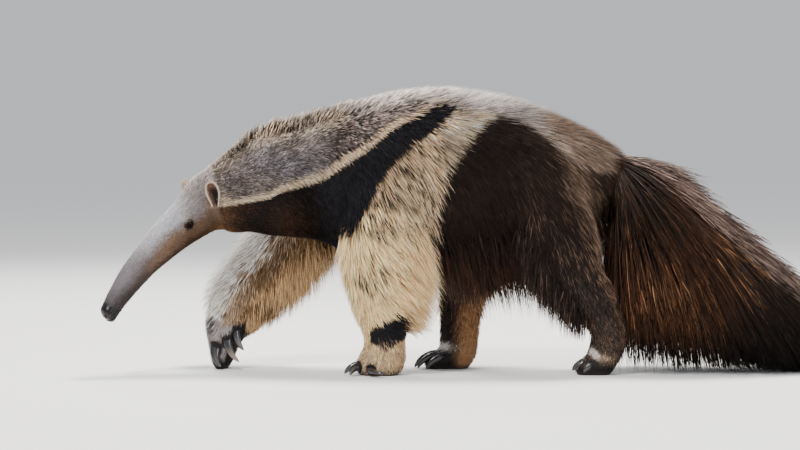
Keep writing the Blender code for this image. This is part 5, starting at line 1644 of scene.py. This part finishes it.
def leg_coat(leg, count, fringe_count, seed, slot):
    s, a, b, q = tri_info[leg]
    zone = part_is(leg) * cover
    weight = zone * mix(1.6, 1.0, smooth(0.05, 0.14, SZ))
    P, N, rng = scatter(count, weight, seed)
    n = len(P)
    s, a, b, q = CHARTS[leg].place(P)
    fore = np.clip(-a, -1, 1)
    xs, ys = LEG_ANGLE[leg]
    ang = np.interp(fore, xs, ys)
    z = P[:, 2]
    ang = mix(mix(ang, 92.0, 0.7), ang, smooth(0.05, 0.11, z)) if leg != "foreleg_right" else ang
    toe = 1 - smooth(0.030, 0.060, z)
    ang = ang + toe * np.where(P[:, 0] < CHARTS[leg].c[-1, 0], 50, 0) * 0.8
    ang = ang + rng.normal(0, 6, n) + 22 * (noise(P, 0.040, 95) - 0.5)
    D = direction(ang)
    D[:, 1] += 0.12 * (noise(P, 0.035, 96) - 0.5)
    xs, ys = LEG_LENGTH[leg]
    L = np.interp(z, xs, ys) * (0.70 + 0.55 * rng.random(n))
    L = L * (1 - 0.30 * (np.abs(b) > 0.5) * ((b < 0) if leg.endswith("left") else (b > 0)))
    stand = np.zeros(n)
    if leg == "foreleg_right":
        stand = (1 - smooth(-0.75, -0.25, fore)) * smooth(0.12, 0.17, z)
    L = L * (1 + 0.25 * stand)
    lift = np.radians(np.interp(L, [0.008, 0.02, 0.05], [15, 18, 16]) * (1 - 0.35 * np.abs(N[:, 1]))
                      + 22 * stand + rng.normal(0, 5, n)).clip(0.06, 0.9)
    X, NN = lay_hair(P, N, D, L, lift, np.full(n, 0.12), 0.004 + 0.03 * stand, 2, rng=rng)
    X = clump(X, 0.009, 0.30, seed + 3)
    cream = leg.startswith("foreleg")
    tones = hair_tones(X, rng, 0.13, 0.86 if cream else 0.50, 0.55, tuft=(0.0055, 0.20 if cream else 0.32))
    width = np.interp(L, [0.008, 0.02, 0.05], [0.0010, 0.0015, 0.0019]) * (0.70 + 0.6 * rng.random(n))
    hair_mesh("coat_" + leg, X, NN, width, tones, unwrap(leg, P), COAT_MATS["short"], slot=slot)
    # long hair down the back of the leg
    s, a, b, q = tri_info[leg]
    lowest = {"foreleg_left": 0.088, "foreleg_right": 0.100, "hindleg_left": 0.105, "hindleg_right": 0.120}[leg]
    rear = smooth(0.15, 0.60, -a)
    if leg == "hindleg_left":
        rear = np.maximum(smooth(0.30, 0.75, a), 0.10 * rear)
    if leg == "hindleg_right":
        rear = np.maximum(smooth(0.2, 0.6, a) * 0.5, rear)
    weight = part_is(leg) * rear * smooth(lowest, lowest + 0.03, SZ)
    P, N, rng = scatter(fringe_count, weight, seed + 7)
    n = len(P)
    x, y, z = P.T
    s, a, b, q = CHARTS[leg].place(P)
    if leg == "foreleg_left":
        base = np.interp(z, [0.09, 0.14, 0.20, 0.30], [26, 34, 44, 58])
        L = np.interp(z, [0.09, 0.13, 0.20, 0.30], [0.036, 0.066, 0.090, 0.092])
    elif leg == "foreleg_right":
        base = np.interp(z, [0.10, 0.20, 0.30], [100, 88, 78])
        L = np.interp(z, [0.10, 0.14, 0.22, 0.30], [0.030, 0.060, 0.078, 0.070])
    elif leg == "hindleg_left":
        base = np.where(a > 0, 92.0, 70.0)
        L = np.interp(z, [0.10, 0.15, 0.22, 0.32], [0.045, 0.080, 0.100, 0.090]) * np.where(a > 0, 1.0, 0.4)
    else:
        base = np.where(a > 0, 98.0, 66.0)
        L = np.interp(z, [0.12, 0.18, 0.26, 0.34], [0.034, 0.050, 0.060, 0.056])
    D = direction(base + rng.normal(0, 8, n))
    D[:, 1] += rng.normal(0, 0.10, n)
    L = L * (0.60 + 0.6 * rng.random(n))
    facing = np.abs(N[:, 1])
    lift = np.radians(32 * (1 - 0.65 * facing) + rng.normal(0, 8, n)).clip(0.1, 1.2)
    L = L * (1 - 0.35 * facing)
    X, NN = lay_hair(P, N, D, L, lift, np.full(n, 0.35), 0.12, 3, rng=rng, wave=0.06, cling=0.05, free=True)
    X = clump(X, 0.012, 0.42, seed + 9)
    tones = hair_tones(X, rng, 0.15, 0.85 if cream else 0.60, 0.45, tuft=(0.006, 0.14 if leg == "foreleg_right" else 0.22))
    width = np.full(n, 0.0017) * (0.75 + 0.5 * rng.random(n))
    hair_mesh("coat_" + leg + "_fringe", X, NN, width, tones, unwrap(leg, P), COAT_MATS["long"], slot=slot)


# --- tail: long coarse hair, a curtain to the floor
TAIL_FLOOR = [(0.400, 0.200), (0.440, 0.120), (0.480, 0.060), (0.540, 0.040), (0.603, 0.022), (0.689, 0.006), (0.775, 0.000), (1.3, 0.0)]


def tail_shade(X):
    """Darker toward the hem, as painted shade."""
    x, z = X[..., 0], X[..., 2]
    return mix(0.38, 1.0, smooth(0.035, 0.125, z + 0.020 * (noise(X, (0.03, 0.05, 0.05), 99) - 0.5)))


def tail_coat(name, mask, count, seed, kind, short):
    P, N, rng = scatter(count, mask, seed)
    n = len(P)
    x, y, z = P.T
    s, a, b, q = CHARTS["tail"].place(P)
    a = np.clip(a, -1, 1)
    side_ang = np.interp(x, [0.42, 0.50, 0.60, 0.70, 0.80, 0.90, 1.00, 1.15], [94, 90, 86, 80, 70, 54, 32, 10])
    top_ang = np.interp(x, [0.42, 0.50, 0.60, 0.70, 0.80, 0.90, 1.00, 1.15], [70, 66, 62, 56, 44, 32, 18, 2])
    k = smooth(0.55, 1.05, a)
    ang = mix(side_ang, top_ang, k) + rng.normal(0, 4.0, n)
    D = direction(ang)
    D[:, 1] += rng.normal(0, 0.03, n)
    slope = np.radians(np.clip(ang, 34, 89))
    floor = lerp_table(x + z / np.tan(slope), TAIL_FLOOR)
    L = np.clip((z - floor) / np.sin(slope), 0.05, 0.42)
    L = np.maximum(L, np.interp(x, [0.42, 0.50, 0.70, 0.90, 1.05, 1.19], [0.10, 0.16, 0.20, 0.20, 0.16, 0.10]))
    L = mix(L, np.interp(x, [0.42, 0.50, 0.60, 0.80, 1.0, 1.19], [0.10, 0.16, 0.20, 0.20, 0.17, 0.10]), k)
    L = L * (0.70 + 0.44 * rng.random(n) ** 0.6)
    reach = 1.250 - x
    L = np.minimum(L, np.maximum(reach, 0.03) / np.maximum(np.cos(np.radians(ang)), 0.15))
    lift = np.radians(mix(8.0, 15.0, k) + rng.normal(0, 3.5, n)).clip(0.03, 0.6)
    back = np.interp(x, [0.42, 0.52, 0.70, 0.90, 1.1], [0.0, 0.04, 0.16, 0.24, 0.2])
    bend = np.stack([back, np.zeros(n), np.zeros(n)], 1)
    X, NN = lay_hair(P, N, D, L, lift, 0.30 + 0.0 * k, 1.0, 3, rng=rng, wave=0.030, bend=bend, cling=0.0, free=True)
    X = clump(X, 0.013, 0.34, seed + 3)
    X[:, 1:, 1] = 0.150 * np.tanh(X[:, 1:, 1] / 0.150)
    X[:, 1:, 2] = np.maximum(X[:, 1:, 2], 0.0015)
    tip = X[:, -1]
    cross = np.stack([x + 0.55 * z, y, z * 0.1], 1)
    streak = noise(cross, 0.005, 97) * 0.8 + noise(cross, 0.02, 98) * 0.2
    tones = hair_tones(X, rng, 0.24, 0.80, 0.55, streak, tuft=(0.006, 0.30), only="tail")
    tones *= tail_shade(X)[..., None]
    width = np.full(n, 0.0023) * (0.65 + 0.7 * rng.random(n))
    half = {"left": "left", "right": "right"}.get(kind)
    spot = unwrap("tail", P, 0, 1, half)
    hair_mesh(name, X, NN, width, tones, spot, COAT_MATS["long"], slot="coat_brown")
    # finer hairs that part from the long ones along their length
    m = len(mask) and int(short * (1.0))
    pick = rng.integers(0, n, m)
    t = 0.10 + 2.86 * rng.random(m)
    i = np.minimum(t.astype(int), 2)
    f = (t - i)[:, None]
    base = X[pick, i] * (1 - f) + X[pick, i + 1] * f
    along = unit(X[pick, i + 1] - X[pick, i])
    away = np.stack([np.zeros(m), np.where(kind == "left", -1.0, 1.0) * np.ones(m), 0.25 * k[pick]], 1)
    d = unit(along + away * 0.20 + rng.normal(0, 0.10, (m, 3)) * np.array([1.0, 0.6, 0.6]))
    size = (0.022 + 0.034 * rng.random(m))[:, None]
    Y = np.stack([base - along * 0.002, base + d * size], 1)
    Y[:, 1, 2] = np.maximum(Y[:, 1, 2], 0.0015)
    Y[:, 1, 1] = np.clip(Y[:, 1, 1], -0.155, 0.155)
    yt = hair_tones(Y, rng, 0.32, 0.90, 0.6, None, tuft=(0.006, 0.35), only="tail")
    yt *= tail_shade(Y)[..., None]
    hair_mesh(name + "_fine", Y, np.stack([away, away], 1), np.full(m, 0.0019) * (0.6 + 0.7 * rng.random(m)), yt, spot[pick],
              COAT_MATS["long"], slot="coat_brown")


# --- ears: a fine fringe on the rim and short hair over the back
def ear_coat():
    Ps, Ns, Ds, Ls = [], [], [], []
    rng = np.random.default_rng(501)
    for side, front, back, n0, info, up in ear_samples:
        s, t, dip = info.T
        edge = np.maximum(np.abs(s), smooth(0.80, 1.0, t))
        for pts, sign, chance in ((back, -1.0, 1.0), (front, 1.0, 0.45)):
            rep = 1
            for _ in range(rep):
                keep = rng.random(len(pts)) < chance * np.where(edge > 0.8, 1.0, 0.8 if sign < 0 else 0.06)
                P = pts[keep] + rng.normal(0, 0.0006, (keep.sum(), 3))
                out = n0[keep] * sign
                rimdir = unit(pts[keep] - pts.mean(0))
                D = np.tile(up, (keep.sum(), 1)) * 0.8 + rimdir * 0.5
                Ps.append(P); Ns.append(out); Ds.append(D)
                Ls.append(np.where(edge[keep] > 0.8, 0.0050, 0.0042) * (0.7 + 0.6 * rng.random(keep.sum())))
    P, N, D, L = (np.concatenate(v) for v in (Ps, Ns, Ds, Ls))
    n = len(P)
    T = unit(D - N * (D * N).sum(1)[:, None] + rng.normal(0, 0.12, (n, 3)))
    lift = np.radians(16 + rng.normal(0, 5, n))
    d = T * np.cos(lift)[:, None] + N * np.sin(lift)[:, None]
    X = np.stack([P - N * 0.0004, P + d * (L * 0.5)[:, None], P + d * L[:, None] - N * (L * 0.06)[:, None]], 1)
    NN = np.stack([N] * 3, 1)
    pale, grey = linear((200, 182, 162)), linear((140, 124, 112))
    k = rng.random(n)
    base = mix(np.tile(pale, (n, 1)), grey, k * 0.75)
    tones = np.stack([base * 0.75, base, base * 1.12], 1)
    lo, hi = P.min(0), P.max(0)
    mid = P.mean(0)
    # each ear unrolled: side to side one way, foot to tip the other
    ear_id = (P[:, 1] > mid[1]).astype(float)
    uv = np.empty((n, 2))
    for e in (0, 1):
        m = ear_id == e
        q = P[m] - P[m].mean(0)
        upv = unit(ear_samples[e][5])
        uv[m, 0] = 0.25 + 0.5 * e + 0.22 * (np.arctan2(q @ np.cross(upv, [0, 1, 0]), q @ np.array([0, 1.0, 0])) / np.pi)
        uv[m, 1] = 0.5 + 0.45 * (q @ upv) / np.abs(q @ upv).max()
    hair_mesh("coat_ears", X, NN, np.full(n, 0.0008) * (0.8 + 0.4 * rng.random(n)), np.clip(tones, 0, 1), uv,
              COAT_MATS["short"], slot="ear_skin")


head_coat()
ear_coat()
trunk_coat("coat_neck_left", (neck_zone & left) * cover, 27000, 201, 0.0, s_at(-0.14), "left", 1)
trunk_coat("coat_neck_right", (neck_zone & ~left) * cover, 13000, 202, 0.0, s_at(-0.14), "right", 1)
trunk_coat("coat_body_left", (body_zone & left) * (1.0 + 0.9 * smooth(0.0, 0.02, SZ - lerp_table(SX, STRIPE_TOP))), 12900, 203, s_at(-0.19), s_at(0.12), "left")
trunk_coat("coat_body_right", (body_zone & ~left) * 1.0, 6500, 204, s_at(-0.19), s_at(0.12), "right")
trunk_coat("coat_rear_left", (rear_zone & left) * 1.0, 24000, 205, s_at(0.08), 1.0, "left", 1)
trunk_coat("coat_rear_right", (rear_zone & ~left) * 1.0, 13000, 206, s_at(0.08), 1.0, "right", 1)
mane_coat()
belly_coat()
leg_coat("foreleg_left", 10000, 2600, 401, "coat_cream")
leg_coat("foreleg_right", 7500, 2600, 421, "coat_cream")
leg_coat("hindleg_left", 7500, 2000, 441, "coat_brown")
leg_coat("hindleg_right", 5400, 1500, 461, "coat_brown")
tail_side = on_tail & (SX > 0.40)
_, tail_a, tail_b, _ = tri_info["tail"]
tail_coat("coat_tail_left", (tail_side & (tail_b > 0)) * (0.8 + 0.5 * smooth(-0.2, 0.9, tail_a)) * (1.6 - 0.6 * smooth(0.46, 0.56, SX)), 8600, 601, "left", 22000)
tail_coat("coat_tail_right", (tail_side & (tail_b <= 0)) * (0.8 + 0.5 * smooth(-0.2, 0.9, tail_a)) * (1.6 - 0.6 * smooth(0.46, 0.56, SX)), 4600, 602, "right", 9000)


# ------------------------------------------------------------------ claws
def claw_material():
    mat, t, bsdf = principled("claw_horn", 0.26, 0.5, 0.0, 0.35, 0.12)
    tone = node(t, "ShaderNodeVertexColor", layer_name="tone")
    place = node(t, "ShaderNodeTexCoord")
    grain = node(t, "ShaderNodeTexNoise", Scale=420.0, Detail=3.0)
    t.links.new(place.outputs["Object"], grain.inputs["Vector"])
    ramp = node(t, "ShaderNodeMapRange")
    ramp.inputs["To Min"].default_value = 0.7
    ramp.inputs["To Max"].default_value = 1.35
    t.links.new(grain.outputs["Fac"], ramp.inputs["Value"])
    mul = node(t, "ShaderNodeMix", data_type='RGBA', blend_type='MULTIPLY')
    mul.inputs["Factor"].default_value = 1.0
    t.links.new(tone.outputs["Color"], mul.inputs["A"])
    t.links.new(ramp.outputs["Result"], mul.inputs["B"])
    t.links.new(mul.outputs["Result"], bsdf.inputs["Base Color"])
    bump = node(t, "ShaderNodeBump", Distance=0.0003)
    bump.inputs["Strength"].default_value = 0.35
    t.links.new(grain.outputs["Fac"], bump.inputs["Height"])
    t.links.new(bump.outputs["Normal"], bsdf.inputs["Normal"])
    return mat


CLAW_MAT = claw_material()
CLAW_TIP = {("hand_right", 1): (128, 114, 102), ("hand_right", 2): (76, 70, 70), ("hand_right", 0): (34, 36, 44)}
claws = []
for key, rows in CLAWS.items():
    for i, (base, start, curl, length, radius, turn) in enumerate(rows):
        steps, seg = 22, 18
        coarse = claw_rows(base, start, curl, length, radius, turn)
        fine = claw_rows(base, start, curl, length, radius, turn, steps=steps, ridge=0.012)
        v4, f4 = loft(coarse, 6, None, None, 2.0)
        lift = max(0.0, CLAW_LIFT - min(p[2] for p in v4))
        back = np.array(Vector(start).normalized()) * -0.006
        fine = [list(np.array(fine[0][:3]) + back) + list(np.array(fine[0][3:9]) * 0.92) + [0.0, 0.0]] + fine
        verts, faces = loft(fine, seg, None, 0.0006, 2.0, caps=3)
        verts = np.array(verts)
        verts[:, 2] += lift
        low = verts[:, 2].min()
        if low < 0.0004:
            verts[:, 2] += 0.0004 - low
        c = raw_object("claw_%s_%d_horn" % (key, i + 1), [tuple(p) for p in verts], faces)
        ring = np.minimum(np.arange(len(verts)) // seg, steps + 1) / float(steps + 1)
        angle = (np.arange(len(verts)) % seg + 0.5) / seg * 2 * np.pi
        dark, tipc = linear((24, 24, 29)), linear(CLAW_TIP.get((key, i), (42, 41, 46)))
        tone = mix(np.tile(dark, (len(verts), 1)), tipc, smooth(0.25, 0.95, ring) * 0.9)
        ridge_pale = smooth(0.90, 1.0, np.abs(np.sin(angle))) * smooth(0.2, 0.7, ring)
        tone = mix(tone, linear((120, 108, 96)), ridge_pale * 0.30)
        tone = tone * (0.85 + 0.3 * noise(verts, 0.0025, 44))[:, None]
        paint(c.data, tone)
        c.data.materials.append(CLAW_MAT)
        c.data.shade_smooth()
        claws.append((c, "claw_%s_%d" % (key, i + 1)))


# ------------------------------------------------------------------ eyes
def eye_material():
    mat, t, bsdf = principled("eye", 0.05, 0.06, 0.0, 0.0, 0.03)
    bsdf.inputs["IOR"].default_value = 1.34
    tone = node(t, "ShaderNodeVertexColor", layer_name="tone")
    t.links.new(tone.outputs["Color"], bsdf.inputs["Base Color"])
    return mat


EYE_MAT = eye_material()
eyes = []
for side, (c, out, fwd, up) in EYE_AT.items():
    rings, seg = 40, 48
    verts, faces, lat = [], [], []
    for j in range(rings + 1):
        th = math.pi * j / rings
        bulge = 0.0007 * (1 - float(smooth(0.35, 0.72, th)))
        r = EYE_RADIUS + bulge
        for i in range(seg):
            ph = 2 * math.pi * i / seg
            verts.append(c + r * (math.cos(th) * out + math.sin(th) * (math.cos(ph) * fwd + math.sin(ph) * up)))
            lat.append((th, ph))
    for j in range(rings):
        for i in range(seg):
            a, b = j * seg + i, j * seg + (i + 1) % seg
            faces.append((a, b, b + seg, a + seg))
    obj = raw_object("eyeball_" + side, [tuple(p) for p in verts], faces)
    bm = bmesh.new()
    bm.from_mesh(obj.data)
    bmesh.ops.remove_doubles(bm, verts=bm.verts, dist=1e-7)
    bmesh.ops.recalc_face_normals(bm, faces=bm.faces)
    bm.to_mesh(obj.data)
    bm.free()
    p = coords(obj.data) - c
    th = np.arccos(np.clip(unit(p) @ out, -1, 1))
    ph = np.arctan2(p @ up, p @ fwd)
    pupil, iris, rim, white = (linear(v) for v in ((1, 1, 2), (26, 14, 8), (5, 4, 3), (22, 17, 14)))
    ray = 0.7 + 0.6 * noise(np.stack([np.cos(ph) * 6, np.sin(ph) * 6, th * 2], 1), 0.4, 47)
    tone = mix(np.tile(pupil, (len(p), 1)), iris * ray[:, None], smooth(0.30, 0.36, th))
    tone = mix(tone, rim, smooth(0.62, 0.70, th))
    tone = mix(tone, white, smooth(0.78, 0.95, th))
    paint(obj.data, tone)
    obj.data.materials.append(EYE_MAT)
    obj.data.shade_smooth()
    eyes.append((obj, "eye_" + side))


# ------------------------------------------------------------------ one skin object
# the ears join the skin as one object
bpy.context.view_layer.update()
bm = bmesh.new()
bm.from_mesh(skin.data)
bmesh.ops.triangulate(bm, faces=[f for f in bm.faces if len(f.verts) > 4])
bm.to_mesh(skin.data)
bm.free()
with bpy.context.temp_override(active_object=skin, selected_editable_objects=[skin] + ears, selected_objects=[skin] + ears):
    bpy.ops.object.join()
skin.name = "skin"
skin.data.name = "skin"
for vg in list(skin.vertex_groups):
    skin.vertex_groups.remove(vg)

shift = Matrix.Translation((-ORIGIN_X, 0.0, 0.0))
for obj in [skin] + [h[0] for h in HAIR] + [c for c, _ in claws] + [e for e, _ in eyes]:
    obj.data.transform(shift)
    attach(obj, "root")

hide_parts("head", "nose", "neck", "trunk", "tail", "foreleg_left", "foreleg_right", "hindleg_left",
            "hindleg_right", "hand_left", "hand_right", "foot_left", "foot_right", "ear_left", "ear_right")
for obj, cad in claws:
    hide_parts(cad)
for obj, cad in eyes:
    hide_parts(cad)

total = sum(h[2] for h in HAIR)
print("coat pieces", [(h[0].name, h[1], h[2]) for h in HAIR], "coat triangles", total,
      "skin", sum(len(p.vertices) - 2 for p in skin.data.polygons))

# ------------------------------------------------------------------ floor, light, camera
floor_mesh = bpy.data.meshes.new("floor")
R = 14.0
floor_mesh.from_pydata([(-R, -R, 0), (R, -R, 0), (R, R, 0), (-R, R, 0)], [], [(0, 1, 2, 3)])
floor = bpy.data.objects.new("floor", floor_mesh)
bpy.context.scene.collection.objects.link(floor)
mat, t, bsdf = principled("floor_pale", 0.75, 0.2)
speck = node(t, "ShaderNodeTexNoise", Scale=3.0, Detail=2.0)
ramp = node(t, "ShaderNodeMapRange")
ramp.inputs["To Min"].default_value = 0.74
ramp.inputs["To Max"].default_value = 0.78
t.links.new(speck.outputs["Fac"], ramp.inputs["Value"])
t.links.new(ramp.outputs["Result"], bsdf.inputs["Base Color"])
floor_mesh.materials.append(mat)

world = bpy.data.worlds.new("studio")
bpy.context.scene.world = world
world.use_nodes = True
world.node_tree.nodes["Background"].inputs["Color"].default_value = (0.90, 0.92, 0.95, 1.0)
back = world.node_tree.nodes["Background"]
place = node(world.node_tree, "ShaderNodeTexCoord")
split = node(world.node_tree, "ShaderNodeSeparateXYZ")
square = node(world.node_tree, "ShaderNodeMath", operation='MULTIPLY')
level = node(world.node_tree, "ShaderNodeMapRange")
level.inputs["To Min"].default_value = 0.70
level.inputs["To Max"].default_value = 1.16
world.node_tree.links.new(place.outputs["Generated"], split.inputs["Vector"])
world.node_tree.links.new(split.outputs["Z"], square.inputs[0])
world.node_tree.links.new(split.outputs["Z"], square.inputs[1])
world.node_tree.links.new(square.outputs["Value"], level.inputs["Value"])
world.node_tree.links.new(level.outputs["Result"], back.inputs["Strength"])


def area(name, at, aim, size, power, colour):
    light = bpy.data.lights.new(name, 'AREA')
    light.shape = 'DISK'
    light.size = size
    light.energy = power
    light.color = colour
    obj = bpy.data.objects.new(name, light)
    obj.location = at
    obj.rotation_euler = (Vector(aim) - Vector(at)).to_track_quat('-Z', 'Y').to_euler()
    bpy.context.scene.collection.objects.link(obj)


area("key", (-2.0, -3.0, 3.8), (-0.2, 0, 0.3), 1.2, 260.0, (1.0, 0.96, 0.90))
area("top", (0.4, 0.7, 3.4), (0.0, 0, 0.4), 1.2, 280.0, (1.0, 0.95, 0.88))
area("fill", (2.8, -3.4, 1.6), (0.3, 0, 0.3), 2.4, 80.0, (0.93, 0.96, 1.0))
area("rim", (-1.8, 3.0, 2.4), (-0.3, 0, 0.4), 1.6, 100.0, (1.0, 0.97, 0.94))

cam_data = bpy.data.cameras.new("camera")
cam_data.lens = 125.55
cam_data.sensor_width = 36.0
cam_data.clip_end = 100.0
cam = bpy.data.objects.new("camera", cam_data)
cam.location = (-ORIGIN_X, -5.9943, 0.5762)
cam.rotation_euler = (Vector((-ORIGIN_X, 0, 0.3145)) - Vector(cam.location)).to_track_quat('-Z', 'Y').to_euler()
bpy.context.scene.collection.objects.link(cam)
bpy.context.scene.camera = cam

bpy.context.view_layer.update()
